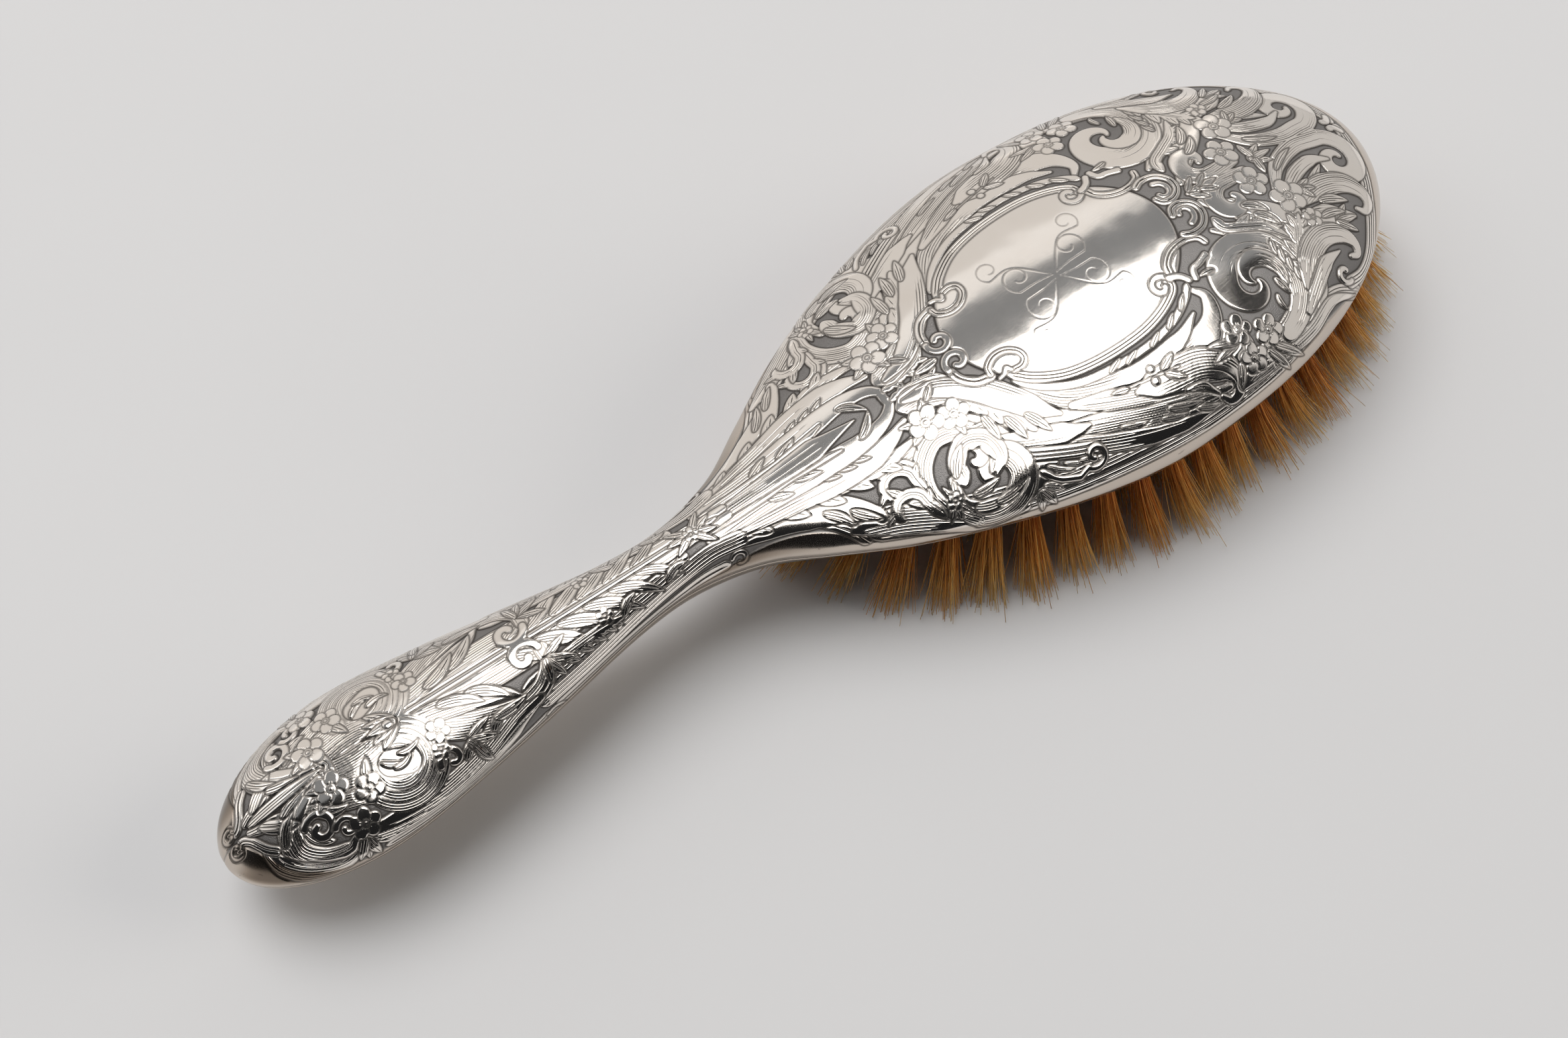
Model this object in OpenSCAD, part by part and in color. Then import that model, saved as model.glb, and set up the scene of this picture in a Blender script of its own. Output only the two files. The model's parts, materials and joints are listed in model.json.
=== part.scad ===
// Vanity hairbrush: a two-piece stamped silver body around a drawn bristle block.
// X runs along the brush, handle end at -X and head tip at +X. Y is across it.
// Z is up, and the trimmed bristle ends stand on Z = 0.
// The upper stamping forms the domed back and the top of the handle. The lower
// stamping forms the underside of the handle and the lip round the bristle block.
// The two meet on a soldered seam at the widest line of the body.

/* [Body] */
// Height of the seam round the head above the bristle ends
seam_z = 16.5; // [15:0.5:19]
// Sheet thickness of the two stampings
sheet = 0.6; // [0.4:0.1:0.8]
// Scale of the dome height over the head and the handle
dome_scale = 1; // [0.9:0.05:1.1]
// Scale of the depth of the underside below the seam
belly_scale = 1; // [0.9:0.05:1.1]

/* [Bristle block] */
// Width of the silver rim that stays round the block
rim_w = 4; // [3.5:0.25:4.5]
// Distance of the block's bottom face below the seam
block_drop = 1.5; // [1:0.25:2]
// Thickness of the bristle block
block_t = 6; // [5.5:0.25:6]
// Thickness of the veneer glued over the draw wires
veneer_t = 0.8; // [0.6:0.1:1]

/* [Tufts] */
// Spacing of the tufts along a row
tuft_pitch = 6.5; // [6:0.25:8]
// Spacing of the straight rows across the block
row_pitch = 7.2; // [6.8:0.1:7.4]
// Radius of a drilled hole and of the tuft in it
tuft_r = 1.5; // [1.3:0.05:1.6]
// Radius of a tuft at its trimmed end
tip_r = 2.3; // [1.9:0.1:2.5]
// Sideways lean of the outermost tufts, as a fraction of their length
splay_y = 0.5; // [0.3:0.05:0.55]
// Lengthways lean of the outermost tufts, as a fraction of their length
splay_x = 0.3; // [0.2:0.05:0.3]
// Radius of the draw wire
wire_r = 0.3; // [0.25:0.05:0.3]

/* [Hidden] */

// Half length of the body
half = 120;
// Key points of the half width, before it is rounded off at both ends
width_keys = [[-120, 31], [-100, 24.6], [-80, 16.6], [-60, 10.5], [-45, 7], [-34, 6.4],
              [-22, 9.2], [-12, 14.8], [0, 21.5], [15, 27.9], [30, 33.5], [45, 38],
              [60, 40.8], [80, 44.3], [100, 46.8], [120, 47.6]];
// Key points of the height of the top surface over the seam
top_keys = [[-120, 22.5], [-100, 17], [-80, 12.5], [-60, 9.5], [-40, 7.7], [-24, 7],
            [-10, 7.6], [5, 9.4], [20, 12.1], [40, 15.1], [60, 17.2], [80, 18.9],
            [100, 20.7], [120, 23]];
// Key points of the depth of the underside below the seam
belly_keys = [[-120, 16], [-100, 12.7], [-80, 10.3], [-60, 8.8], [-40, 7.8], [-20, 7],
              [0, 4.9], [12, 3.2], [24, 2.2], [40, 1.8], [120, 1.8]];
// Key points of the seam height, which drops along the handle
seam_keys = [[-120, -6.4], [-100, -4.6], [-60, -3], [-30, -1.7], [0, -0.4], [20, 0], [120, 0]];
// Stations along the body and segments over half a section
stations = 42;
segs = 16;
// Ends of the opening for the block
open_a = -7;
open_b = 115.5;
open_c = (open_a + open_b) / 2;
open_h = (open_b - open_a) / 2;
// Small assembly gap between stampings, filler, block and veneer
gap = 0.05;

// Smooth curve through key points
function at(k, x, i = 0) = (i >= len(k) - 2 || x < k[i + 1][0]) ? i : at(k, x, i + 1);
function slope(k, i) =
    let (a = max(i - 1, 0), b = min(i + 1, len(k) - 1))
    (k[b][1] - k[a][1]) / (k[b][0] - k[a][0]);
function curve(k, x) =
    let (i = at(k, x), h = k[i + 1][0] - k[i][0], u = (x - k[i][0]) / h,
         m0 = slope(k, i) * h, m1 = slope(k, i + 1) * h,
         p0 = k[i][1], p1 = k[i + 1][1])
    p0 + u * m0 + u * u * (3 * (p1 - p0) - 2 * m0 - m1) + u * u * u * (2 * (p0 - p1) + m0 + m1);

// Rounding of both ends, 1 in the middle and 0 at the tips
function round_off(x, l) = sqrt(max(0, 1 - (x / l) * (x / l)));
function half_w(x, t = 0) = (curve(width_keys, x) - t) * round_off(x, half - t);
function top_h(x, t = 0) = (dome_scale * curve(top_keys, x) - t) * round_off(x, half - t);
function belly_d(x, t = 0) = (belly_scale * curve(belly_keys, x) - t) * round_off(x, half - t);
function seam_h(x) = seam_z + curve(seam_keys, x);

// X of each station, closer together towards the ends
end_a = 3;
function station(i, t) = -(half - t) * cos(end_a + (180 - 2 * end_a) * i / stations);

// Half section: an arc from +Y to -Y over (up) or under the seam
function arc(x, t, up) =
    [for (j = [0 : segs])
        let (a = 180 * j / segs, s = up ? top_h(x, t) : -belly_d(x, t))
        [x, half_w(x, t) * cos(a), seam_h(x) + s * sin(a)]];

// Whole section, over the seam and back under it
function loop_pts(x, t) =
    let (u = arc(x, t, true), d = arc(x, t, false))
    concat(u, [for (j = [segs - 1 : -1 : 1]) d[j]]);

// Quads between ring i and ring i + 1, each of n points from index base
function skin(base, n, last, closed) =
    [for (i = [0 : stations - 1], j = [0 : closed ? n - 1 : last])
        let (p = base + i * n, k = (j + 1) % n)
        each [[p + j, p + n + k, p + n + j], [p + j, p + k, p + n + k]]];
function reversed(faces) = [for (f = faces) [for (q = [len(f) - 1 : -1 : 0]) f[q]]];

// Solid body, inset by t from the outer skin
module body(t) {
    n = 2 * segs;
    pts = [for (i = [0 : stations]) each loop_pts(station(i, t), t)];
    caps = [[for (j = [n - 1 : -1 : 0]) j], [for (j = [0 : n - 1]) stations * n + j]];
    polyhedron(pts, concat(skin(0, n, n - 1, true), caps), convexity = 6);
}

// One stamping: an open half shell of the sheet's thickness, over or under the seam
module stamping(up) {
    n = segs + 1;
    m = (stations + 1) * n;
    pts = [for (t = [0, sheet], i = [0 : stations]) each arc(station(i, t), t, up)];
    outer = skin(0, n, segs - 1, false);
    inner = reversed(skin(m, n, segs - 1, false));
    seams = [for (i = [0 : stations - 1])
        let (p = i * n, q = (i + 1) * n, e = segs)
        each [[p, q, m + q], [p, m + q, m + p],
              [p + e, m + q + e, q + e], [p + e, m + p + e, m + q + e]]];
    z = stations * n;
    ends = [[for (j = [segs : -1 : 0]) j], [for (j = [0 : segs]) m + j],
            [for (j = [0 : segs]) z + j], [for (j = [segs : -1 : 0]) m + z + j],
            [0, m, m + segs, segs], [z, z + segs, m + z + segs, m + z]];
    faces = concat(outer, inner, seams, ends);
    polyhedron(pts, up ? faces : reversed(faces), convexity = 6);
}

// Outline of the opening, inset by g
function open_w(x, g) =
    let (u = (x - open_c) / (open_h - g), p = u > 0 ? 16 : 4)
    (half_w(x) - rim_w - g) * sqrt(max(0, 1 - pow(abs(u), p)));
function open_pts(g, n = 36) =
    concat([for (i = [0 : n]) let (x = open_c - (open_h - g) * cos(180 * i / n))
                [x, -open_w(x, g)]],
           [for (i = [n - 1 : -1 : 1]) let (x = open_c - (open_h - g) * cos(180 * i / n))
                [x, open_w(x, g)]]);

module open_prism(g, z0, z1) {
    translate([0, 0, z0])
        linear_extrude(height = z1 - z0)
            polygon(open_pts(g));
}

// Heights of the block, the wire layer and the veneer
face_z = seam_z - block_drop;
back_z = face_z + block_t;
veneer_z = back_z + 2 * wire_r + 0.1;

module back_shell() {
    color([0.78, 0.77, 0.75])
        stamping(true);
}

module under_shell() {
    color([0.7, 0.66, 0.62])
        resize([0, 0, 0])
            difference() {
                stamping(false);
                open_prism(0, -5, 40);
            }
}

// Strip that lines the opening: flush with the underside, up past the seam
collar_in = 0.55;
module opening_collar() {
    o = open_pts(gap);
    q = open_pts(collar_in);
    n = len(o);
    loop = concat(o, q);
    function skin_z(p) =
        seam_h(p[0]) - belly_d(p[0]) * sqrt(max(0, 1 - pow(p[1] / half_w(p[0]), 2)));
    pts = concat([for (p = loop) [p[0], p[1], skin_z(p)]],
                 [for (p = loop) [p[0], p[1], seam_z + 1]]);
    faces = [for (k = [0 : n - 1])
        let (l = (k + 1) % n)
        each [[k, n + k, n + l], [k, n + l, l],
              [2 * n + k, 3 * n + l, 3 * n + k], [2 * n + k, 2 * n + l, 3 * n + l],
              [k, 2 * n + l, 2 * n + k], [k, l, 2 * n + l],
              [n + k, 3 * n + k, 3 * n + l], [n + k, 3 * n + l, n + l]]];
    color([0.7, 0.66, 0.62])
        polyhedron(pts, faces, convexity = 6);
}

// Tufts of the border row, evenly spaced along a line inside the block's edge
ring_in = 3.4;
function ring_pt(a) =
    let (x = open_c - (open_h - ring_in) * cos(a)) [x, open_w(x, ring_in)];
ring_step = 2;
function ring_len(a) =
    a <= 0 ? 0 : ring_len(a - ring_step) + norm(ring_pt(a) - ring_pt(a - ring_step));
ring_table = [for (a = [0 : ring_step : 180]) [ring_len(a), a]];
ring_total = ring_table[len(ring_table) - 1][0];
ring_n = round(ring_total / tuft_pitch);
border = [for (k = [0 : ring_n - 1]) ring_pt(lookup((k + 0.5) * ring_total / ring_n, ring_table))];

// Tufts of the straight rows, staggered from row to row, inside the border row
row_in = ring_in + 5.3;
function inside_rows(x, y) =
    x > open_a + row_in && x < open_b - row_in && abs(y) < open_w(x, row_in);
function row_pts(r) =
    let (y = r * row_pitch, s = (r % 2 == 0) ? 0 : tuft_pitch / 2)
    [for (k = [0 : 18]) let (x = open_a + 8 + s + k * tuft_pitch) if (inside_rows(x, y)) [x, y]];

// Direction of a tuft from its root, of length 1
function lean(p) =
    let (v = [splay_x * (p[0] - open_c) / open_h, splay_y * p[1] / 30, -1]) v / norm(v);
// Depth of the drilled hole along its own axis
hole_d = 4.2;
function root_end(p) = [p[0], p[1], face_z] - hole_d * lean(p);

module along(p) {
    v = lean(p);
    translate([p[0], p[1], face_z])
        rotate([0, 0, atan2(v[1], v[0])])
            rotate([0, 180 - acos(-v[2]), 0])
                children();
}

module tuft_row(pts) {
    color([0.76, 0.52, 0.25])
        intersection() {
            union() {
                for (p = pts) {
                    along(p)
                        translate([0, 0, -hole_d])
                            cylinder(r = tuft_r, h = hole_d + 1, $fn = 32);
                    along(p)
                        translate([0, 0, 1])
                            cylinder(r1 = tuft_r, r2 = tip_r, h = 19, $fn = 32);
                }
            }
            translate([-20, -60, 0])
                cube([160, 120, back_z]);
        }
}

// Draw wire: runs along the back of the block, with a twist over each tuft and a
// leg down to the tuft's root
twist_r = 0.5;
module wire_row(pts) {
    color([0.8, 0.62, 0.3])
        union() {
            for (p = pts) {
                e = root_end(p);
                translate([e[0], e[1], e[2] + 0.25])
                    cylinder(r = 0.22, h = back_z - e[2], $fn = 24);
                translate([e[0], e[1], back_z - 0.1])
                    cylinder(r = twist_r, h = 2 * wire_r + 0.15, $fn = 24);
            }
            for (i = [0 : len(pts) - 2]) {
                a = root_end(pts[i]);
                b = root_end(pts[i + 1]);
                translate([a[0], a[1], back_z + wire_r])
                    rotate([0, 0, atan2(b[1] - a[1], b[0] - a[0])])
                        rotate([0, 90, 0])
                            translate([0, 0, 0.35])
                                cylinder(r = wire_r, h = norm([b[0] - a[0], b[1] - a[1]]) - 0.7,
                                         $fn = 24);
            }
        }
}

function flip(pts) = [for (p = pts) [p[0], -p[1]]];
all_tufts = concat(border, flip(border), [for (r = [-3 : 3]) each row_pts(r)]);

module bristle_block() {
    color([0.42, 0.27, 0.17])
        difference() {
            open_prism(collar_in + gap, face_z, back_z);
            for (p = all_tufts) {
                along(p)
                    translate([0, 0, -hole_d])
                        cylinder(r = tuft_r, h = hole_d + 3, $fn = 32);
            }
            for (p = all_tufts) {
                e = root_end(p);
                translate([e[0], e[1], e[2] - 0.5])
                    cylinder(r = 0.6, h = 6, $fn = 24);
            }
        }
}

module backing_veneer() {
    color([0.55, 0.37, 0.22])
        open_prism(2.5, veneer_z, veneer_z + veneer_t);
}

module head_filler() {
    color([0.2, 0.17, 0.15])
        resize([0, 0, 0])
            difference() {
                body(sheet + gap);
                translate([-130, -60, 0])
                    cube([130 + open_a - 1, 120, 60]);
                open_prism(0, -5, seam_z + 0.3);
                open_prism(0, seam_z - 1, back_z + gap);
                open_prism(2.5 - gap, back_z - 1, veneer_z + veneer_t + gap);
            }
}

module handle_filler() {
    color([0.2, 0.17, 0.15])
        resize([0, 0, 0])
            intersection() {
                body(sheet + gap);
                translate([-130, -60, 0])
                    cube([130 + open_a - 1 - gap, 120, 60]);
            }
}

back_shell();
under_shell();
opening_collar();
bristle_block();
backing_veneer();
head_filler();
handle_filler();
tuft_row(border);  // tufts_border_left
tuft_row(flip(border));  // tufts_border_right
tuft_row(row_pts(0));  // tufts_row_center
tuft_row(row_pts(1));  // tufts_row_left_1
tuft_row(row_pts(2));  // tufts_row_left_2
tuft_row(row_pts(3));  // tufts_row_left_3
tuft_row(row_pts(-1));  // tufts_row_right_1
tuft_row(row_pts(-2));  // tufts_row_right_2
tuft_row(row_pts(-3));  // tufts_row_right_3
wire_row(border);  // wire_border_left
wire_row(flip(border));  // wire_border_right
wire_row(row_pts(0));  // wire_row_center
wire_row(row_pts(1));  // wire_row_left_1
wire_row(row_pts(2));  // wire_row_left_2
wire_row(row_pts(3));  // wire_row_left_3
wire_row(row_pts(-1));  // wire_row_right_1
wire_row(row_pts(-2));  // wire_row_right_2
wire_row(row_pts(-3));  // wire_row_right_3
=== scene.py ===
"""Looks of the vanity hairbrush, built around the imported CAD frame.

Lengths in the shape code are millimetres, as in the part's source, and MM turns them into the
frame's metres. x runs along the brush to the head tip, y across it, z up, and the bristles
stand on z = 0. The order is: body profile, relief engine, ornament, meshes, materials, stage.
"""
import json
import math

import bmesh
import bpy
import numpy as np
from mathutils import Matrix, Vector


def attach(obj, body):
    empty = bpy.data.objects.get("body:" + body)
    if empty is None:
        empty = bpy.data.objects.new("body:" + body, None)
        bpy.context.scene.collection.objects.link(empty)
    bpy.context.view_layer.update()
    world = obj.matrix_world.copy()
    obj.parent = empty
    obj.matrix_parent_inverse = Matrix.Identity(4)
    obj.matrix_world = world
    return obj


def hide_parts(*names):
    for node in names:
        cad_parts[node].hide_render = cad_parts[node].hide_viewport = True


MM = 0.001
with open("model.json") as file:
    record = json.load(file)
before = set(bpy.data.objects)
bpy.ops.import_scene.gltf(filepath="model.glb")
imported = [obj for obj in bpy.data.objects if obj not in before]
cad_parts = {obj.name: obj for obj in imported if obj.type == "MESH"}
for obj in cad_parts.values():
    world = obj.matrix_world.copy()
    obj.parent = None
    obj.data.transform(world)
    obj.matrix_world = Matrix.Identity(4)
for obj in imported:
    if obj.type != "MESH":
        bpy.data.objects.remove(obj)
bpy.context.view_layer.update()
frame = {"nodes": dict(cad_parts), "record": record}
nodes = frame["nodes"]
rng = np.random.default_rng(7)

# ---- Body profile, in millimetres: the same key points as the CAD part ----
HALF = 120.0
WIDTH_KEYS = [(-120, 31), (-100, 24.6), (-80, 16.6), (-60, 10.5), (-45, 7), (-34, 6.4), (-22, 9.2),
              (-12, 14.8), (0, 21.5), (15, 27.9), (30, 33.5), (45, 38), (60, 40.8), (80, 44.3),
              (100, 46.8), (120, 47.6)]
TOP_KEYS = [(-120, 22.5), (-100, 17), (-80, 12.5), (-60, 9.5), (-40, 7.7), (-24, 7), (-10, 7.6),
            (5, 9.4), (20, 12.1), (40, 15.1), (60, 17.2), (80, 18.9), (100, 20.7), (120, 23)]
BELLY_KEYS = [(-120, 16), (-100, 12.7), (-80, 10.3), (-60, 8.8), (-40, 7.8), (-20, 7), (0, 4.9),
              (12, 3.2), (24, 2.2), (40, 1.8), (120, 1.8)]
SEAM_KEYS = [(-120, -6.4), (-100, -4.6), (-60, -3), (-30, -1.7), (0, -0.4), (20, 0), (120, 0)]
SEAM_Z = 16.5
OPEN_MID, OPEN_HALF, RIM_W = 54.25, 61.25, 4.0  # the bristle opening and the rim beside it
BLOCK_FACE = 15.0
SHEET = 0.6   # from the stamped back's surface to its inner face
LIP_R = 0.35  # roll of the lip round the opening


def curve(keys, x):
    """Smooth curve through key points, as in the CAD part."""
    k = np.array(keys, float)
    kx, ky = k[:, 0], k[:, 1]
    n = len(kx)
    a = np.maximum(np.arange(n) - 1, 0)
    b = np.minimum(np.arange(n) + 1, n - 1)
    m = (ky[b] - ky[a]) / (kx[b] - kx[a])
    i = np.clip(np.searchsorted(kx, x, side="right") - 1, 0, n - 2)
    h = kx[i + 1] - kx[i]
    u = (x - kx[i]) / h
    m0, m1, p0, p1 = m[i] * h, m[i + 1] * h, ky[i], ky[i + 1]
    return p0 + u * m0 + u * u * (3 * (p1 - p0) - 2 * m0 - m1) + u**3 * (2 * (p0 - p1) + m0 + m1)


def ends(x):
    """Rounds a profile off at both ends of the brush."""
    return np.sqrt(np.clip(1 - (x / HALF) ** 2, 0, 1))


def half_w(x):
    return curve(WIDTH_KEYS, x) * ends(x)


def top_h(x):
    return curve(TOP_KEYS, x) * ends(x)


def belly_d(x):
    return curve(BELLY_KEYS, x) * ends(x)


def seam_h(x):
    return SEAM_Z + curve(SEAM_KEYS, x)


def arc_half(x):
    """Length over the back from the crown to the seam at x."""
    t = np.linspace(0, math.pi / 2, 160)
    y = half_w(x)[:, None] * np.sin(t)
    z = top_h(x)[:, None] * np.cos(t)
    return np.hypot(np.diff(y, axis=1), np.diff(z, axis=1)).sum(1)


# ---- Relief engine: strokes painted over each other on a flat map of the back ----
# The map's axes are x along the brush and v, the distance over the back from its crown.
# Only the side where v is positive is used; the other side mirrors it.
CELL = 0.1
MAP_X, MAP_V = -120.0, -7.0  # the map's low corner
NX, NV = 2400, 500
AXIS = 70  # the column where v is zero
CELL_X = MAP_X + (np.arange(NX) + 0.5) * CELL
CELL_V = MAP_V + (np.arange(NV) + 0.5) * CELL
# Relief, how far raised work covers the ground, dark in the cuts, the place across a stroke
# counted in engraved lines, and how strongly those lines show.
height, cover, dirt, flow, hatch_map = (np.zeros((NX, NV), np.float32) for _ in range(5))
PLUMP = 1.4      # widens every leaf and ribbon
LINE_GAP = 0.42  # between the engraved lines of leaves and petals
# outside this line the back is plain and polished
RIM_KEYS = [(-120, 0), (-118.4, 0.1), (-116.6, 0.6), (-115, 3.2), (-113.6, 6.4), (-111.5, 10.2),
            (-107, 14), (-102, 16.3), (-96, 17.3), (-88, 17.6), (-80, 17), (-70, 14.8), (-62, 13.2),
            (-50, 11), (-40, 9.5), (-33, 8.6), (-26, 8.4), (-20, 9), (-14, 11.4), (-9, 15.2),
            (-5, 18.8), (5, 24.8), (15, 29.6), (25, 33), (35, 35.3), (46, 36.9), (56, 37.4),
            (66, 36.9), (76, 35), (86, 32.4), (92, 31.2), (98, 29.6), (103, 26), (107.5, 20.5),
            (111.5, 14), (114.3, 8), (115.8, 3), (116.2, 0), (120, 0)]


def smooth(a, b, x):
    t = np.clip((x - a) / (b - a), 0, 1)
    return t * t * (3 - 2 * t)


def spline(pts, step=0.25):
    """Catmull-Rom through given points, sampled about every step mm."""
    p = np.array(pts, float)
    if len(p) == 2:
        n = max(2, int(np.hypot(*(p[1] - p[0])) / step))
        t = np.linspace(0, 1, n)[:, None]
        return p[0] * (1 - t) + p[1] * t
    q = np.vstack([2 * p[0] - p[1], p, 2 * p[-1] - p[-2]])
    out = []
    for i in range(len(p) - 1):
        a, b, c, d = q[i:i + 4]
        n = max(2, int(np.hypot(*(c - b)) / step))
        t = np.arange(n)[:, None] / n
        out.append(0.5 * (2 * b + (c - a) * t + (2 * a - 5 * b + 4 * c - d) * t**2
                          + (3 * b - a - 3 * c + d) * t**3))
    return np.vstack([*out, p[-1:]])


def path_of(pts):
    """A list of key points as a smooth path; a path that is sampled already as it is."""
    return spline(pts) if isinstance(pts, list) else pts


def volute(cx, cv, r0, r1, a0, a1, power=1.0):
    """Spiral from radius r0 at angle a0 to r1 at a1, in degrees."""
    n = max(8, int(abs(math.radians(a1 - a0)) * max(r0, r1) / 0.25))
    t = np.linspace(0, 1, n)
    r = r0 + (r1 - r0) * t**power
    a = np.radians(a0 + (a1 - a0) * t)
    return np.stack([cx + r * np.cos(a), cv + r * np.sin(a)], 1)


def curl(pts, *spiral, **kw):
    """A smooth path that runs on into a volute."""
    return np.vstack([spline(pts), volute(*spiral, **kw)])


def field(pts, rad):
    """Distance inside a tapered stroke, with its place along and across, on a window."""
    rad = np.broadcast_to(np.asarray(rad, float), (len(pts),))
    m = rad.max() + 0.5
    corner = [MAP_X, MAP_V]
    lo = np.floor((pts.min(0) - m - corner) / CELL).astype(int)
    hi = np.ceil((pts.max(0) + m - corner) / CELL).astype(int) + 1
    lo = np.maximum(lo, 0)
    hi = np.minimum(hi, [NX, NV])
    if (hi <= lo).any():
        return None
    shape = tuple(hi - lo)
    sd = np.full(shape, -9.0, np.float32)
    s, u = np.zeros(shape, np.float32), np.zeros(shape, np.float32)
    step = np.hypot(*np.diff(pts, axis=0).T)
    along = np.concatenate([[0], np.cumsum(step)])
    for i in range(len(pts) - 1):
        a, b = pts[i], pts[i + 1]
        r = max(rad[i], rad[i + 1]) + 0.45
        w0 = np.maximum(np.floor((np.minimum(a, b) - r - corner) / CELL).astype(int), lo)
        w1 = np.minimum(np.ceil((np.maximum(a, b) + r - corner) / CELL).astype(int) + 1, hi)
        if (w1 <= w0).any() or step[i] < 1e-6:
            continue
        gx = CELL_X[w0[0]:w1[0], None] - a[0]
        gv = CELL_V[None, w0[1]:w1[1]] - a[1]
        ex, ev = (b - a) / step[i]
        t = np.clip((gx * ex + gv * ev) / step[i], 0, 1)
        d = np.hypot(gx - t * step[i] * ex, gv - t * step[i] * ev)
        val = (rad[i] + (rad[i + 1] - rad[i]) * t - d).astype(np.float32)
        sl = (slice(w0[0] - lo[0], w1[0] - lo[0]), slice(w0[1] - lo[1], w1[1] - lo[1]))
        better = val > sd[sl]
        sd[sl] = np.where(better, val, sd[sl])
        s[sl] = np.where(better, along[i] + t * step[i], s[sl])
        u[sl] = np.where(better, gx * ev - gv * ex, u[sl])
    win = (slice(lo[0], hi[0]), slice(lo[1], hi[1]))
    return win, sd, s / max(along[-1], 1e-6), u


def ragged(k, seed):
    """A fixed number from 0 to 1 for each whole number in k."""
    return np.modf(np.abs(np.sin(k * 12.9898 + seed) * 43758.5453))[0]


def lines_of(u, s, spacing, s0, s1, side=0):
    """Engraved lines that run along a stroke, each with its own start, end and depth."""
    k = np.floor(u / spacing)
    f = np.abs(u / spacing - k - 0.5) * spacing
    cut = 1 - smooth(0.02, 0.1, f)
    first, last = s0 + 0.3 * ragged(k, 1.0) * (s1 - s0), s1 - 0.5 * ragged(k, 2.0) * (s1 - s0)
    fade = smooth(first, first + 0.1, s) * (1 - smooth(last - 0.15, last, s))
    if side:
        fade = fade * smooth(-0.1, 0.5, u * side)
    fade = fade * (0.6 + 0.4 * ragged(k, 3.0))
    return cut * fade * 0.085, u / spacing, fade


def put(f, lines=None, **kw):
    """Paints one stroke, and first its mirror image where it reaches over the axis."""
    if f is None:
        return
    (rows, columns), sd, s, u = f
    layers = [sd, s, u, *(lines or (None,) * 3)]
    over = AXIS - columns.start
    if over > 0:
        back = (rows, slice(AXIS, min(AXIS + over, NV)))
        paint(back, *[None if a is None else a[:, :over][:, ::-1] for a in layers], **kw)
    paint((rows, columns), *layers, **kw)


def paint(win, sd, s, u, cut, across, amount, top=0.0, dome=0.05, edge=0.18, groove=0.17, vein=0.0,
          flat=0.42, gw=0.18):
    """Lays a raised stroke over what is there, with a cut line round it.

    top lifts the stroke over flat, dome rounds it, edge is how far its shoulder reaches in, and
    groove and gw are the depth and width of the cut line.
    """
    h, c, d = height[win], cover[win], dirt[win]
    inside = smooth(-0.05, edge, sd)
    new = flat + top + dome * (1 - np.exp(-np.maximum(sd, 0) / 0.7))
    if vein:
        # one line along the middle and a shorter one on each side of it
        k = np.round(u / LINE_GAP)
        last = 0.95 - 0.3 * np.abs(k)
        amount = (np.abs(k) < 2) * (1 - smooth(0.75 - 0.3 * np.abs(k), last, s))
        across = u / LINE_GAP + 0.5
        cut = vein * (1 - smooth(0, 0.16, np.abs(u))) * (1 - smooth(0.7, 1, s))
    if cut is None:
        cut = across = amount = np.zeros_like(sd)
    rim = np.exp(-((sd + 0.02) / gw) ** 2) * groove
    h[...] = (np.where(sd > 0, h * (1 - inside) + (new - cut) * inside, h)
              - rim * np.where(sd > 0, 0.5, np.minimum(1, c + 0.2)))
    c[...] = np.maximum(c, inside)
    d[...] = np.maximum(d * (1 - inside), rim / max(groove, 0.05))
    flow[win] = np.where(sd > 0, across, flow[win])
    old = hatch_map[win] * smooth(0.02, 0.3, -sd)
    hatch_map[win] = np.where(sd > 0, amount * smooth(0.08, 0.3, sd), old)


def engrave(path, w, depth):
    """Cuts a fine line into what is there, on both sides of the axis."""
    for q in (path, path * [1, -1]):
        win, sd, _, _ = field(q, taper(len(q), w, 0.2, 0.8, 0.3))
        cut = smooth(-0.12, 0.08, sd)
        height[win] -= cut * depth
        dirt[win] = np.maximum(dirt[win], cut * 0.6)


def taper(n, w, a, b, tip):
    """Width along a stroke: w between a and b, and down to tip of it at both ends."""
    t = np.linspace(0, 1, n)
    return w * (tip + (1 - tip) * np.minimum(1, (t / max(a, 1e-3)) ** 0.6)
                * np.minimum(1, ((1 - t) / max(1 - b, 1e-3)) ** 0.7))


def band(pts, w, b=0.98, tip=0.5, lines=0, line_depth=0.11, **kw):
    """Even rib, or a flat strap with that many engraved lines."""
    p = path_of(pts)
    f = field(p, taper(len(p), w, 0.02, b, tip))
    cuts = None
    if lines:
        _, _, s, u = f
        across = (u / (0.92 * w) + 1) * (lines + 1) / 2
        k = np.round(across)
        shown = (k > 0) * (k <= lines) * smooth(0.0, 0.03, s) * (1 - smooth(0.96, 1, s))
        gap = np.abs(across - k) * 1.84 * w / (lines + 1)
        cuts = (1 - smooth(0.03, 0.15, gap)) * shown * line_depth, across + 0.5, shown
    put(f, lines=cuts, **kw)


def border(pts, w, lines=2, **kw):
    """Flat edging with fine parallel lines, level with the plain rim."""
    band(pts, w, lines=lines, line_depth=0.07, flat=0.36, dome=0.0, groove=0.08, gw=0.14, **kw)


def petal(base, ang, length, w, bend=0.0, **kw):
    """Small leaf from base, heading ang degrees, bending by bend degrees along its length."""
    t = np.linspace(0, 1, max(8, int(length / 0.25)))
    a = np.radians(ang + bend * t)
    way = np.stack([np.cos(a), np.sin(a)], 1) * (length / (len(t) - 1))
    p = np.cumsum(way, 0) - way[0] + np.array(base, float)
    r = PLUMP * w * 1.75 * t**0.55 * (1 - t) ** 0.85 + 0.04
    put(field(p, r), vein=0.045, **kw)


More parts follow.
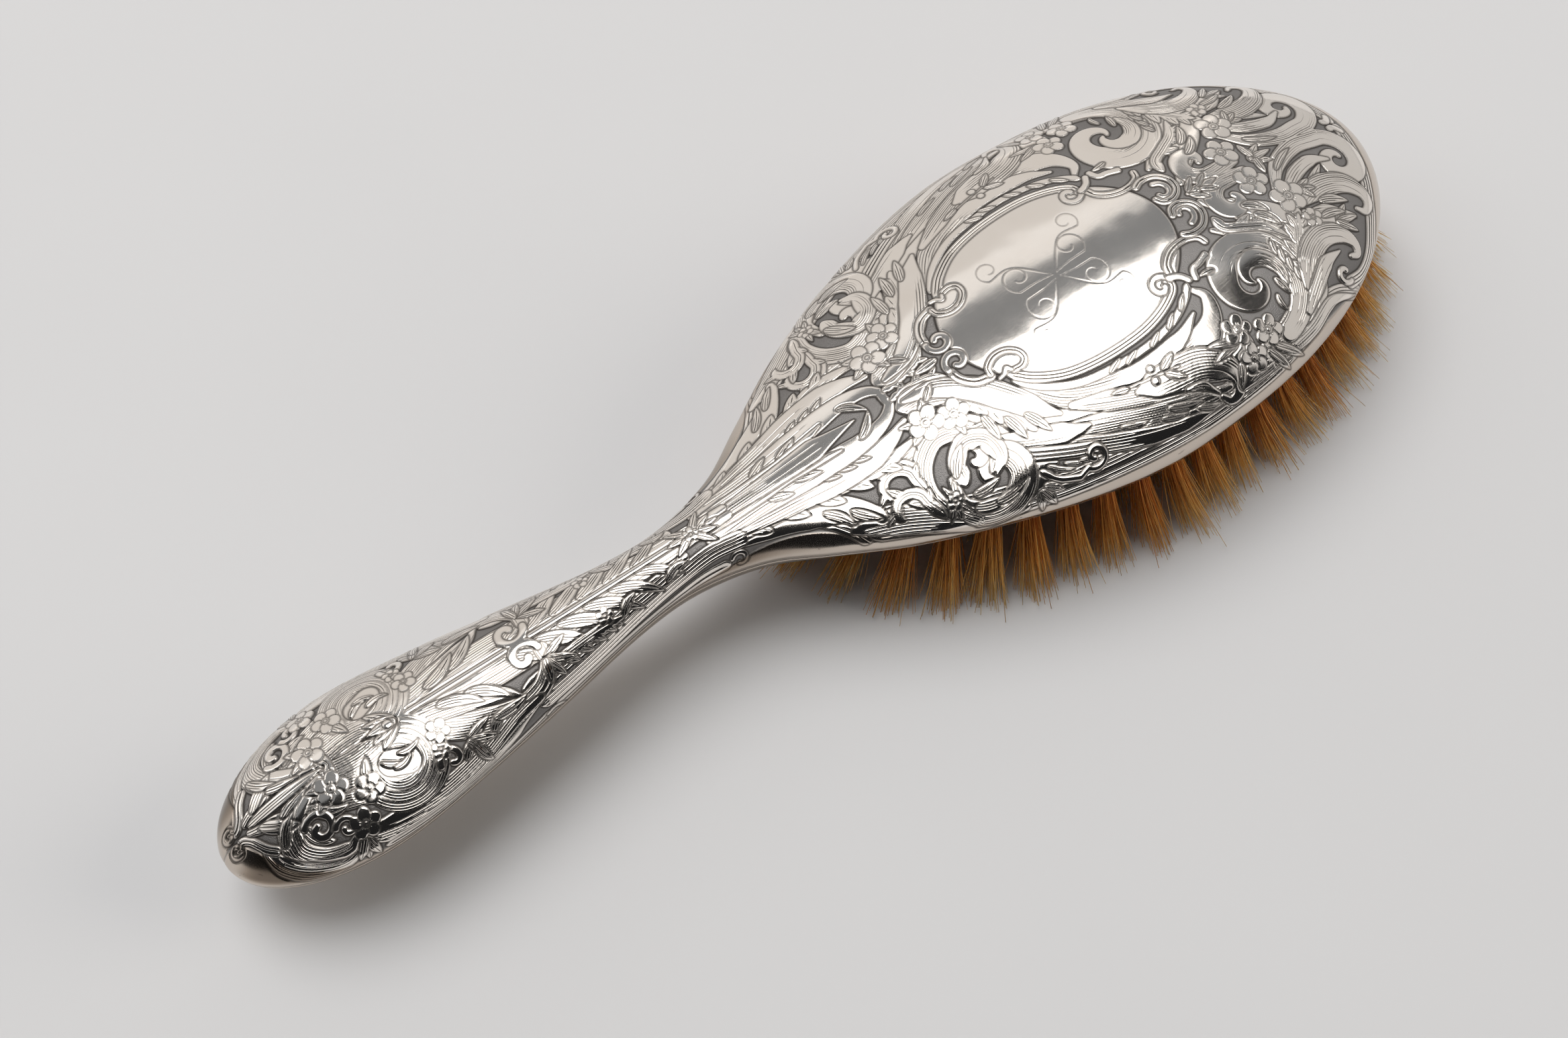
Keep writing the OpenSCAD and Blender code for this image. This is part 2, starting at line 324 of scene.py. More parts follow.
def leaves(*rows):
    """Small leaves: x, v, heading, length, width and, where they matter, bend and top."""
    for x, v, ang, length, w, *rest in rows:
        bend, top = (*rest, 0, 0)[:2]
        petal((x, v), ang, length, w, bend, top=top)


def spray(base, angles, length, w, **kw):
    """Like leaves that part from one point."""
    for ang in angles:
        petal(base, ang, length, w, **kw)


def acanthus(pts, w, lobes=5, side=0, reach=1.9, spread=48, hook=34, **kw):
    """Leaf with a curved spine and pointed lobes, on one or both sides, that lap under its middle."""
    p = path_of(pts)
    n = len(p)
    tang = np.gradient(p, axis=0)
    put(field(p, taper(n, w * 0.95, 0.1, 0.75, 0.12)), **kw)
    for k in range(lobes - 1, -1, -1):
        t = 0.04 + 0.82 * (k + 0.5) / lobes
        i = int(t * (n - 1))
        ang = math.degrees(math.atan2(tang[i, 1], tang[i, 0]))
        size = w * reach * (0.6 + 0.4 * math.sin(math.pi * min(1, t * 1.15)))
        for sg in (side,) if side else (1, -1):
            petal(p[i], ang + sg * spread * 0.8, size * 1.75, size * 0.4, bend=sg * hook * 0.6, **kw)
    f = field(p, taper(n, w * 0.72, 0.1, 0.7, 0.12))
    put(f, lines_of(f[3], f[2], LINE_GAP, 0.0, 1.25), groove=0.0, gw=0.05, **kw)


def ribbon(pts, widths, hatch=0.9, start=0.0, side=0, spacing=0.5, **kw):
    """Broad smooth leaf band, its half widths spread along it, with flow lines from start to hatch."""
    p = path_of(pts)
    r = np.interp(np.linspace(0, 1, len(p)), np.linspace(0, 1, len(widths)), widths) * PLUMP
    f = field(p, r)
    put(f, lines_of(f[3], f[2], spacing, start, hatch, side), **kw)


def dot(cx, cv):
    """The shortest path there is, for a round stroke."""
    return np.array([[cx, cv], [cx + 0.01, cv]])


def flower(cx, cv, r, rot=0):
    """Flat rosette of five round petals that meet in thin lines, with a small ringed eye."""
    for a in np.radians(rot + np.arange(5) * 360 / 5):
        way = np.array([math.cos(a), math.sin(a)])
        p = np.array([cx, cv]) + r * np.array([[0.2], [0.56], [0.62]]) * way
        f = field(p, np.array([0.2, 0.42, 0.42]) * r)
        if f:
            _, _, s, u = f
            spread = (np.abs(u) < 0.62) * (1 - smooth(0.3, 0.6, s))
            put(f, (0.0 * u, u / LINE_GAP, spread), top=0.06, dome=0.02, groove=0.1, gw=0.13)
    for size, top in ((0.27, 0.07), (0.13, 0.13)):
        put(field(dot(cx, cv), size * r), top=top, dome=0.06, groove=0.1, gw=0.11)


def bead(cx, cv, r):
    put(field(dot(cx, cv), r), top=0.05, dome=0.25)


def ellipse_field(cx, cv, a, b):
    """Distance inside an ellipse, over the whole map."""
    q = np.hypot((CELL_X[:, None] - cx) / a, (CELL_V - cv) / b)
    sd = ((1 - q) * min(a, b)).astype(np.float32)
    zero = np.zeros_like(sd)
    return (slice(0, NX), slice(0, NV)), sd, zero, zero


def rim_zone(x, v):
    """1 on the plain rim, 0 inside the ornament."""
    return smooth(-0.2, 0.3, np.abs(v) - curve(RIM_KEYS, x))


def rim_tarnish_and_shade(x, v):
    """The plain rim's tarnish and painted shade, 1 on the rim and up to 2 above the handle's rolled edge,
    where heavier tarnish and a painted dark reflection of the shaded surroundings darken it.
    """
    table = np.linspace(-HALF, HALF, 481)
    edge = np.interp(x, table, arc_half(table)) - np.abs(v)
    # the dark band over the handle's rolled edge: heavier tarnish and a painted dark reflection
    heavy_tarnish_and_shade = smooth(-8, -35, x) * smooth(0.9, 2.4, edge) * smooth(2, 7, np.abs(v))
    return rim_zone(x, v) * (1 + heavy_tarnish_and_shade)


def plain_rim():
    """Starts the map with the flat rim that frames the ornament."""
    zone = rim_zone(CELL_X[:, None], CELL_V[None, :]).astype(np.float32)
    height[...] = 0.34 * zone
    cover[...] = zone


def emboss(x, v):
    """How boldly the stamping stands up: shallow round the cartouche, deeper at the rim and the bulb."""
    return 0.46 + 0.2 * smooth(17, 30, np.abs(v)) + 0.28 * smooth(-80, -98, x)


def ornament():
    """Paints the whole ornament, from what lies lowest to what lies on top."""
    plain_rim()
    # edging along the head, flat and finely lined
    border([(-24, 5.6), (-17, 7.2), (-12, 10.2), (-8.5, 14.2), (-6.5, 17.8)], 1.5, lines=3)
    border([(-6, 18), (5, 23.8), (15, 28.6), (25, 32), (35, 34.3), (46, 36), (56, 36.6), (68, 35.8),
            (80, 33.2)], 1.1, tip=0.3)
    border([(-4, 15.6), (5, 21), (15, 25.8), (25, 29.4), (35, 31.8), (46, 33.3), (56, 33.8), (68, 33),
            (80, 30.6), (88, 29.4), (93, 31), (96, 33)], 1.6, lines=4, tip=0.3)
    # three lines round the tip, from the lower curl to the axis
    band([(92.5, 29), (97, 28.7), (101, 26.3), (105, 21.4), (109, 15.4), (112.2, 9.6), (113.8, 4),
            (114.6, 0.6)], 1.35, lines=3, b=0.97, dome=0.02)
    band([(112, 1), (113.3, 0.9), (114.6, 2.2)], 0.8, tip=0.4)

    # ---- Head: broad leaves behind the main scrolls ----
    ribbon([(-8, 15.4), (-1, 18.6), (6, 23), (12, 27.4), (18, 30)], [0.5, 1.7, 1.9, 1.8, 0.5])
    ribbon([(0, 11), (7, 10.6), (13, 11), (18.6, 15), (21.4, 21)], [0.5, 1.6, 1.8, 1.7, 0.6], hatch=0.5)
    ribbon([(10, 27), (18, 27.4), (25, 25.6), (28, 23)], [0.5, 1.5, 1.6, 0.4], hatch=0.6)
    ribbon([(24, 21), (32, 26.4), (41, 30.6), (50, 33.2), (58, 34)], [0.5, 1.9, 2.2, 1.8, 0.6])
    ribbon([(20, 12), (25, 18), (31, 22.8), (38, 25.6)], [0.5, 1.8, 1.9, 0.5], hatch=0.6)
    ribbon([(58, 23), (64, 25.6), (65, 29.6), (61, 33)], [0.5, 1.8, 1.8, 0.5], hatch=0.5)
    ribbon([(62, 33), (72, 32), (80, 29), (86, 24.4), (89.4, 18), (91, 12.6)], [0.8, 1.9, 2.1, 2.1, 1.9,
            0.8])
    ribbon([(77, 2.6), (82, 7.6), (87, 12), (89.6, 18)], [0.5, 1.7, 1.9, 0.8], hatch=0.6)
    ribbon([(74.6, 8.4), (80.6, 12.4), (85, 17), (86, 23.4)], [0.4, 1.5, 1.8, 0.6], hatch=0.5)
    ribbon([(90.6, 15), (96, 16), (102, 18.6)], [0.6, 1.6, 0.4], hatch=0.6)
    ribbon([(40, 22.5), (50, 24.5), (58, 24.5), (63, 22), (65, 18), (63.5, 15.5)], [0.6, 2.2, 2.6, 2.2, 1.3,
            0.4], hatch=0.7)
    ribbon([(28, 13), (33, 18.6), (40, 21.8), (47, 22.8), (56, 21.6), (61, 19.2)], [0.5, 1.5, 1.9, 1.5, 1.2,
            0.3], hatch=0.6)
    # band round the cartouche with small dark windows left between its tongues
    band([(27.5, 11.2), (31, 15), (36, 17.9), (42, 19.2), (50, 19.6), (57, 18.4), (61.5, 16.2),
            (63.6, 14.2)], 0.75, tip=0.4)
    for x, v, a in ((43.5, 18.9, -28), (46.8, 19.4, -30), (52.4, 19.3, -38), (57, 18.2, -44),
            (61, 16.6, -50)):
        petal((x - 1.6, v + 0.9), a, 3.4, 0.55, bend=12)

    # side leaves of the head, base to rim
    ribbon([(28, 22.4), (37, 26.4), (46, 30), (54, 32.4), (62, 33.4)], [0.5, 1.3, 1.6, 1.3, 0.1], hatch=1.2,
            spacing=0.42)
    for x, v in ((38, 28.2), (45, 31), (52, 33)):
        petal((x, v), 34, 5.4, 0.6, bend=-26)
    ribbon([(33, 20.6), (39, 23.6), (45, 26.2), (51, 28.6), (56, 30)], [0.5, 1.3, 1.4, 1, 0.1], hatch=1.2,
            spacing=0.42)
    ribbon([(44, 25.2), (50, 26.2), (56, 27.2), (60, 29.6), (61.6, 32.6), (60.6, 35), (58.6, 35.4),
            (57.4, 34)], [0.4, 1.8, 2.2, 2.4, 2.1, 1.2, 0.8, 0.4], hatch=0.9, start=0.1, spacing=0.55,
            top=0.03)
    ribbon([(52, 29.6), (55, 30.6), (57, 33)], [0.3, 0.7, 0.2], top=0.05)
    petal((47, 30.2), 30, 7, 0.8, bend=-20, top=0.04)
    # berry sprig over the long leaf
    band([(40.5, 23.2), (46, 24.2), (53, 25.4)], 0.22)
    bead(48.2, 23.1, 0.72)
    bead(47.8, 25.3, 0.78)
    leaves((50, 24.3, -24, 3.6, 0.75, 0, 0.06), (50.2, 25.2, 40, 3.8, 0.75, 0, 0.06),
            (43, 23.8, 196, 3.4, 0.6, 0, 0.06))

    # rod of three lines crossing from the left swirl to the rim, with its curl
    ribbon([(20, 18.8), (26, 22), (31, 24.2), (33.6, 24.9)], [1, 1.4, 1.3, 0.3], hatch=0.8, side=-1)
    band([(15.8, 18.6), (22, 22.8), (28, 26.3), (33, 28.8)], 1.15, lines=2, top=0.04)
    for k in range(3):
        petal((24 + 2.6 * k, 26.2 + 1.2 * k), 56 - 10 * k, 5.2 - 0.8 * k, 0.5, bend=-34)
    band(curl([(22.6, 26.4), (24.6, 29.2), (28, 31.2)], 31.9, 29.5, 2.3, 0.5, 150, -250), 0.55, tip=0.6,
            top=0.08, dome=0.2)
    leaves((20.8, 29, 96, 3.8, 0.75, 0, 0.05), (21.2, 29, 66, 4.2, 0.75, 0, 0.05),
            (22, 28.6, 40, 3.6, 0.7, 0, 0.05))

    # left swirl: two interlocked scroll leaves
    ribbon(curl([(9.4, 18.6), (8.8, 23), (11, 26.4)], 16.2, 22.2, 6.6, 1.1, 142, -215, power=0.8), [0.6,
            1.3, 1.7, 1.8, 1.7, 1.4, 1.1, 0.8, 0.5], hatch=0.95, start=0.05, spacing=0.42, dome=0.26,
            top=0.04)
    acanthus([(6, 23), (5, 18), (6.6, 13.8), (10.5, 11.3), (14.5, 12.2), (17, 15.2), (16.4, 18),
            (14.6, 18.2)], 1.9, lobes=5, side=-1, spread=40, hook=30, top=0.05)
    ribbon(volute(14.2, 17.7, 3.9, 0.6, 185, 470), [0.3, 0.8, 1, 0.8, 0.5], hatch=0.8, spacing=0.4,
            top=0.08)
    acanthus([(11, 20.6), (11.6, 16.6), (14.6, 14.6), (17.8, 16.4), (18.2, 20), (16, 22.4)], 1.7, lobes=4,
            side=1, spread=44, hook=30, top=0.06)
    leaves((10.2, 18.6, -64, 5.6, 1, 34, 0.05), (10.6, 24.6, 40, 6, 1.1, -44, 0.07),
            (11.2, 22.6, 24, 5.2, 0.9, -40, 0.08), (14, 26, 20, 6.4, 0.9, -44, 0.08))
    # small flower with leaflets in the crook
    spray((8.0, 21.6), (-100, -62, 60, 96, 128), 3.3, 0.6, top=0.09)
    flower(8.1, 21.6, 1.45, 20)
    # two small rolled leaves at the neck side
    acanthus(curl([(4.8, 18.2), (4.4, 14.6)], 0.9, 14.2, 3.6, 1, -12, -236), 1, lobes=3, side=1, spread=42,
            hook=30, top=0.05)
    acanthus(curl([(5.6, 22.6), (4.2, 19)], 0.6, 18.4, 3.5, 1.1, -14, -215), 1, lobes=3, side=1, spread=42,
            hook=30, top=0.05)

    # ---- Neck palmette ----
    ribbon([(-26, 5), (-16, 7.2), (-9, 10.6), (-4.2, 14.6), (-3.2, 16.4)], [0.9, 1.6, 2, 1.6, 0.6],
            hatch=0.8, side=1)
    leaves((-7, 12.4, 58, 5.4, 0.8, -20, 0.05), (-11, 10, 40, 6, 0.8, 26, 0.05))
    acanthus([(-27, 3.9), (-16, 5.6), (-6, 7.9), (2, 9.4), (8.6, 9)], 1.7, lobes=5, side=1, spread=30,
            hook=20)
    ribbon([(-24, 4), (-14, 5.4), (-4, 7), (4, 7), (9, 5.4)], [0.8, 1.4, 1.7, 1.6, 0.4], hatch=0.75)
    for x, v in ((-7.6, 4.9), (-4.6, 5.2), (-1.8, 5.4)):
        petal((x, v), -14, 3.4, 0.5, top=0.05)
        petal((x - 0.4, v + 0.2), 26, 3.4, 0.5, top=0.05)
    ribbon([(-29, 2.9), (-19, 2.8), (-8, 3.5), (1, 4.1), (6.2, 3.4), (8.8, 1.5), (8.6, -0.6)], [0.5, 1, 1.3,
            1.5, 1.4, 1, 0.5], hatch=0.7)
    leaves((-17, 2.6, 22, 4.4, 0.7, 0, 0.04), (-12, 2, 22, 5.4, 0.8, 0, 0.04),
            (1.5, 3.4, -20, 5.4, 0.8, -40, 0.04))
    ribbon([(-30, 1.3), (-20, 1.1), (-12, 1.2), (-6, 2.3), (-2.4, 3)], [0.5, 0.9, 1, 0.8, 0.2], hatch=0.8)
    ribbon([(-34, 0), (-20, 0), (-8, 0), (-3, 0), (2.6, 0)], [0.6, 0.8, 1.2, 1.5, 0.15], spacing=0.42,
            top=0.05)
    # small leaf that runs up to the axis volute
    acanthus([(9.5, 1.1), (13, 1.2), (17, 2), (19.4, 3.8)], 0.9, lobes=3, spread=46, hook=20)
    petal((19.8, 0), 180, 4.6, 0.9, top=0.02)

    # big leaf sweeping from the neck flowers down beside the cartouche
    acanthus([(9.6, 3.2), (14.5, 4.2), (19, 7.2), (22.4, 11.4), (24.6, 16), (25.6, 20.2)], 2.6, lobes=6,
            side=1, reach=1.6, spread=36, hook=10)
    ribbon([(11, 2.6), (16, 4), (21, 7.8), (24.6, 12.4), (27.6, 17), (30.6, 20.4)], [0.4, 1.2, 1.6, 1.8,
            1.5, 0.3], side=1)
    leaves((22.5, 15.5, 74, 5.2, 0.9, 8, 0.04), (19.6, 13, 84, 5, 0.9, 8, 0.04),
            (25.6, 17, 62, 5.4, 0.9, 8, 0.04))
    # neck flowers
    spray((11.3, 7.9), (150, 205, 300), 4.4, 0.9)
    leaves((16, 9.6, 96, 4.2, 0.9), (13.8, 5, -40, 3.2, 0.6))
    flower(16.1, 9.7, 2.78, 10)
    flower(11.5, 8, 3.13, 30)

    # ---- Big swirl in the upper half ----
    ribbon([(62, 34.2), (72, 33), (80, 30.8), (85.4, 26.6), (88, 21.6), (90.4, 17.4), (92.6, 14)], [0.8,
            1.3, 1.6, 1.7, 1.5, 1.2, 0.5], hatch=1, spacing=0.45)
    ribbon([(70, 34.4), (80, 32.8), (87, 30.2), (93.6, 31.8)], [0.3, 1, 0.9, 0.2])
    ribbon(volute(74.2, 20.2, 10.6, 1.3, 84, -355, power=0.9), [1.4, 1.7, 1.9, 2.2, 2.3, 2.2, 1.9, 1.5, 1.2,
            0.9, 0.6, 0.35], hatch=0.72, spacing=0.42, top=0.02)
    ribbon(volute(75.6, 19.8, 5.4, 1.2, 40, -205), [0.4, 1.1, 1.3, 1, 0.7, 0.3], hatch=0.6, spacing=0.4,
            top=0.06)
    leaves((78.4, 21.4, 70, 4, 0.7, 10, 0.06), (77, 24, 118, 3.6, 0.6, -60, 0.06),
            (69.6, 14.6, 200, 3.4, 0.6, -30, 0.05))
    for k in range(5):
        x, v = 82.2 + 0.35 * k, 15.4 + 2.0 * k
        petal((x, v), 62, 3.2, 0.6, bend=20, top=0.08)
        petal((x + 0.4, v), 116, 3.0, 0.55, bend=-20, top=0.08)
    band([(65.6, 14.4), (66.4, 12.6), (68.2, 12.2), (70.4, 11.4)], 0.7, top=0.06)
    # leaf that rises from the swirl to the flowers near the tip
    acanthus([(84.4, 26), (86, 20.8), (88.6, 16.6), (91, 13.6)], 1.5, lobes=4, spread=32, hook=20, top=0.04)

    # ---- Scroll leaves of the tip ----
    ribbon(curl([(91, 7.6), (95, 3.6), (101, 1.5), (106, 1.7)], 107.3, 7.7, 5.9, 1.3, -84, 330, power=0.75),
            [0.6, 1.2, 1.4, 1.5, 1.5, 1.4, 1.2, 1, 0.7, 0.4], hatch=0.6, spacing=0.42, top=0.02)
    ribbon([(93, 8.6), (97.5, 6.4), (102, 5.6), (105.4, 6.8)], [0.6, 1.1, 1, 0.3], hatch=0.8, top=0.04)
    leaves((94, 4.4, -38, 6.8, 0.7, 26, 0.04), (96.4, 10.4, -24, 7.6, 0.9, -6, 0.04))
    ribbon([(93.5, 12.2), (99, 11), (104, 12), (107, 14.8), (107.2, 17.4), (105.2, 18.6), (103.6, 17.6)],
            [0.6, 1.5, 1.8, 1.6, 1.2, 0.8, 0.4], hatch=0.85, spacing=0.45, top=0.03)
    petal((97, 13.4), 6, 6.2, 1, bend=30, top=0.06)
    ribbon([(83.6, 25.6), (87.5, 21.2), (92, 19.2), (96, 20.2), (98.2, 22.8), (97.8, 25), (96, 24.8)], [0.7,
            1.5, 1.8, 1.7, 1.4, 0.8, 0.4], hatch=0.85, spacing=0.42, top=0.03)
    ribbon([(81, 29.6), (86, 26), (90, 23.6), (94, 23)], [0.5, 1.1, 1.1, 0.2], top=0.05)
    for a, l in ((-30, 4.8), (6, 5.2), (42, 4.8)):
        petal((97.3, 18.2), a, l, 0.8, top=0.07)
    petal((95, 16.2), -8, 5.6, 0.8, bend=36, top=0.06)
    band(volute(92.6, 27, 2, 0.6, 60, 330), 0.6, top=0.08, dome=0.2)
    # leaf scrolls between the cartouche and the tip flowers
    ribbon(curl([(88.6, 1.6), (84, 1.2)], 82.3, 5.2, 4, 1.1, -90, -395, power=0.8), [0.9, 1.3, 1.4, 1.3, 1,
            0.7, 0.5], hatch=0.6, spacing=0.42, top=0.03)
    acanthus([(76.4, 6.4), (77, 9), (80.4, 10.8), (84, 12.8), (86.2, 16.4)], 1.2, lobes=4, side=-1,
            spread=36, hook=24, top=0.03)
    leaves((82.8, 7.2, 18, 5, 0.9, 44, 0.05), (83.6, 9.8, 30, 5.2, 0.9, 44, 0.05))
    # tip flowers and the sprig on the axis
    spray((91.4, 0), (-28, 28), 4.6, 0.9)
    leaves((91.6, 0, 0, 5.2, 0.8), (92.6, 0.4, 100, 3.6, 0.8))
    spray((95, 9.4), (-14, 24, 60), 3.4, 0.7)
    flower(93.2, 15.4, 1.97, 0)
    flower(88.2, 4, 3.25, 15)
    flower(92, 9.8, 3.48, -10)

    # ---- Flower cluster near the rim ----
    spray((65, 27.5), (172, 200), 6.0, 0.8, top=0.02)
    leaves((69.5, 31.5, 60, 6.4, 0.9, 0, 0.05), (71, 31.2, 42, 7.4, 0.9, 0, 0.05),
            (63.5, 30.8, 118, 4.4, 0.8, 0, 0.03))
    flower(71.4, 28.4, 2.9, 20)
    flower(66.2, 31.3, 2.78, -8)
    flower(66, 25.6, 2.9, 12)

    # ---- Cartouche ----
    put(ellipse_field(46.5, 0, 23.6, 17), flat=0.4, dome=0, groove=0.1, edge=0.5)
    band([(27.8, 9.9), (30.6, 12.8), (35, 15.4), (40, 16.7), (46, 17.2), (52, 16.9), (57, 15.6),
            (60.6, 13.6), (61.2, 11.4)], 0.95, lines=2, top=0.02, tip=0.7, dome=0)
    band(volute(59.4, 12.2, 2.2, 0.7, -10, -330), 0.62, top=0.05, dome=0.05)
    # notch loops on the handle side
    band([(20.2, 3.2), (20.8, 5.6), (22.6, 7.6), (25.4, 8.4)], 0.85, lines=1, top=0.04)
    band([(25.2, 8.2), (25.6, 6.7), (27.6, 5.7), (29.8, 6), (31.4, 7.4), (31.6, 9), (30.4, 9.9),
            (28.6, 9.7)], 0.62, top=0.05, lines=1, tip=0.6)
    band([(28.6, 9.6), (28, 8.6), (27, 9.4), (25.8, 9.6)], 0.45, top=0.05)
    band(volute(22.3, 2.5, 2.3, 0.7, 160, 500), 0.66, top=0.06, dome=0.05)
    # top loops and the C-scroll pair
    band([(62.2, 11.6), (63, 9.4), (65.4, 7.7), (68.6, 7.2), (71.2, 8), (72, 9.6)], 0.75, lines=1, top=0.04,
            tip=0.6)
    band([(61.4, 11.6), (63.4, 12.4), (64.6, 14)], 0.7, top=0.04)
    band(np.vstack([volute(72.6, 2.9, 0.7, 2.3, -160, 90), spline([(72.6, 5.2), (75.2, 4.2)])])[:-6], 0.62,
            top=0.06, dome=0.05)
    band([(70.6, 2.4), (71.6, 0.9), (73.8, 0.8), (75.6, 2.2), (75.8, 4.6), (74, 6.6), (71.4, 7),
            (69.4, 6.2)], 0.75, lines=1, top=0.04, tip=0.6)
    # bud on the axis beyond the C-scrolls
    leaves((76, 0, 0, 7.2, 0.9), (76.6, 0.4, 40, 3.6, 0.7), (79, 0.4, 30, 3.4, 0.6))

    # engraved rosette of scrolls, the same on both sides of both axes
    for way in (1, -1):
        for out, up, r, turn in ((5.6, 3.6, 3.0, 330), (8.6, 8.0, 2.4, 300)):
            roll = volute(0, 0, r, 0.7, -60, turn) + [out, up]
            stem = spline([(0.4, 0.5), (out * 0.6, up - 0.9 * r), tuple(roll[0])])
            line = np.vstack([stem, roll[1:]])
            engrave(line * [way, 1] + [46.0, 0], 0.08, 0.06)

    # ---- Handle ----
    border([(-64, 12.9), (-50, 10.5), (-40, 9), (-33, 7.9), (-28, 8)], 1, lines=1)
    band(volute(-25.9, 8.3, 1.5, 0.6, -160, 140), 0.45, flat=0.4, dome=0.02)
    border([(-66, 10.6), (-55, 8.8), (-45, 6.8), (-37, 5.4), (-30, 4.6), (-24, 5.4)], 1.5, lines=4)
    border([(-68, 8.4), (-57, 6.6), (-47, 4.9), (-39, 3.8), (-34, 2.6)], 1.3, lines=3)
    # ribbed stem on the axis, with leaves that part from it
    ribbon([(-90, 1), (-76, 2.2), (-66, 2.4), (-52, 1.6), (-36, 0.9), (-24, 0.8)], [0.6, 1.5, 1.6, 1.3, 0.9,
            0.5], hatch=1.2, spacing=0.42, dome=0.04)
    for x, v, l, w in ((-42.4, 0.6, 8.6, 0.85), (-47.6, 0.8, 9.6, 1.0), (-52.6, 1.0, 10.4, 1.15),
            (-57.6, 1.1, 11, 1.25), (-62.8, 1.2, 11, 1.3), (-67.4, 1.4, 9, 1.1)):
        petal((x, v), 14, l, w, bend=34, dome=0.04, top=0.03)
    band([(-90, 0), (-60, 0), (-26, 0)], 0.5, top=0.06, dome=0.1)
    acanthus([(-68, 7), (-60, 5.9), (-53, 5.4), (-47, 5.6)], 1, lobes=6, side=1, spread=44, hook=24)
    leaves((-47.6, 5.6, -62, 4.4, 0.8, 52, 0.08), (-38.4, 4.6, -46, 4.6, 0.8, 60, 0.08))
    flower(-50.4, 3.9, 1.5, 0)
    # knot on the axis at the neck
    spray((-31, 0), (-46, -18, 18, 46, 150, 180, 210), 4.6, 0.7, top=0.1)
    flower(-31, 0, 1.3, 0)
    # scroll, sprig and stem bundle of the grip
    ribbon([(-88, 1.8), (-82, 5), (-76, 7.8), (-70, 9.2), (-65, 8.2), (-62.2, 5.4), (-62, 3)], [0.6, 1.6,
            1.7, 1.5, 1.3, 1.1, 0.9], hatch=1.3, spacing=0.42, top=0.02)
    ribbon([(-88, 1.4), (-82, 2.4), (-76, 3.8), (-71, 5.6), (-68.6, 7.6)], [0.5, 1.2, 1.3, 1.1, 0.3],
            hatch=1.2, spacing=0.42, top=0.03)
    leaves((-76, 2.6, 12, 7.6, 1, 46, 0.07), (-80.6, 1.9, 6, 7.6, 1, 40, 0.06))
    band(volute(-65, 2.5, 2.8, 0.7, 0, -330), 0.7, top=0.08, dome=0.08)
    for a, l in ((-22, 5.0), (24, 5.4), (66, 4.4), (104, 4.0)):
        petal((-62.3, 4.6), a, l, 0.75, top=0.08)
    # broad leaf along the lower side of the bulb and grip
    ribbon([(-101, 12.6), (-94, 14.6), (-86, 15), (-78, 13.4), (-71, 10.8), (-66, 9.6)], [0.8, 1.9, 2.1,
            1.9, 1.5, 0.5], hatch=1.3, spacing=0.42)
    for x, v, a in ((-93, 12.4, -66), (-87, 12.4, -62), (-81, 11.6, -60), (-75, 10, -58)):
        petal((x, v), a, 4.6, 0.9, bend=52, top=0.05)
    petal((-74, 8.4), 10, 6.4, 0.9, bend=-30, top=0.04)
    border([(-98, 16.5), (-90, 17.1), (-80, 16.5), (-70, 14.3), (-65.6, 13.1)], 0.7, lines=1)
    band([(-66.4, 13.4), (-64.6, 12.8), (-63, 13.4), (-62.4, 14.8)], 0.4, dome=0.02)
    # broad domed leaf of the bulb, its flow lines and its swirl
    for v, w in ((6.4, 1.9), (3.0, 2.0)):
        ribbon([(-108, v * 0.35), (-101, v * 0.75), (-94, v), (-87, v * 0.5)], [0.5, 1.0 * w, 1.1 * w, 0.5],
                hatch=1.3, spacing=0.4, dome=0.06)
    for r in (6.6, 4.9, 3.2):
        ribbon(volute(-90, 6.2, r, r * 0.9, -100, 200), [0.5, 0.9, 1.2, 1.2, 1.1, 0.9, 0.5], hatch=1.3,
                spacing=0.42, dome=0.02, groove=0.03)
    put(field(np.array([[-91, 5.6], [-88.6, 6.6]]), 2.1), flat=0.12, dome=0)
    for x, v, a in ((-92.4, 4.6, 64), (-91.2, 6.6, 20), (-89.6, 4.8, 34)):
        petal((x, v), a, 4.2, 0.55, bend=-70, top=0.04)
    # spray beside the bulb
    for a, l in ((-20, 5.0), (20, 4.8), (64, 4.0)):
        petal((-79.4, 9.2), a, l, 0.8, top=0.08)
    petal((-78.8, 10.4), 84, 4.2, 0.8, bend=-30, top=0.08)
    band(volute(-82.8, 10.2, 2.2, 0.6, 170, 480), 0.6, top=0.09, dome=0.1)
    flower(-83.6, 8, 1.5, 10)
    flower(-82.6, 5.2, 2, 30)
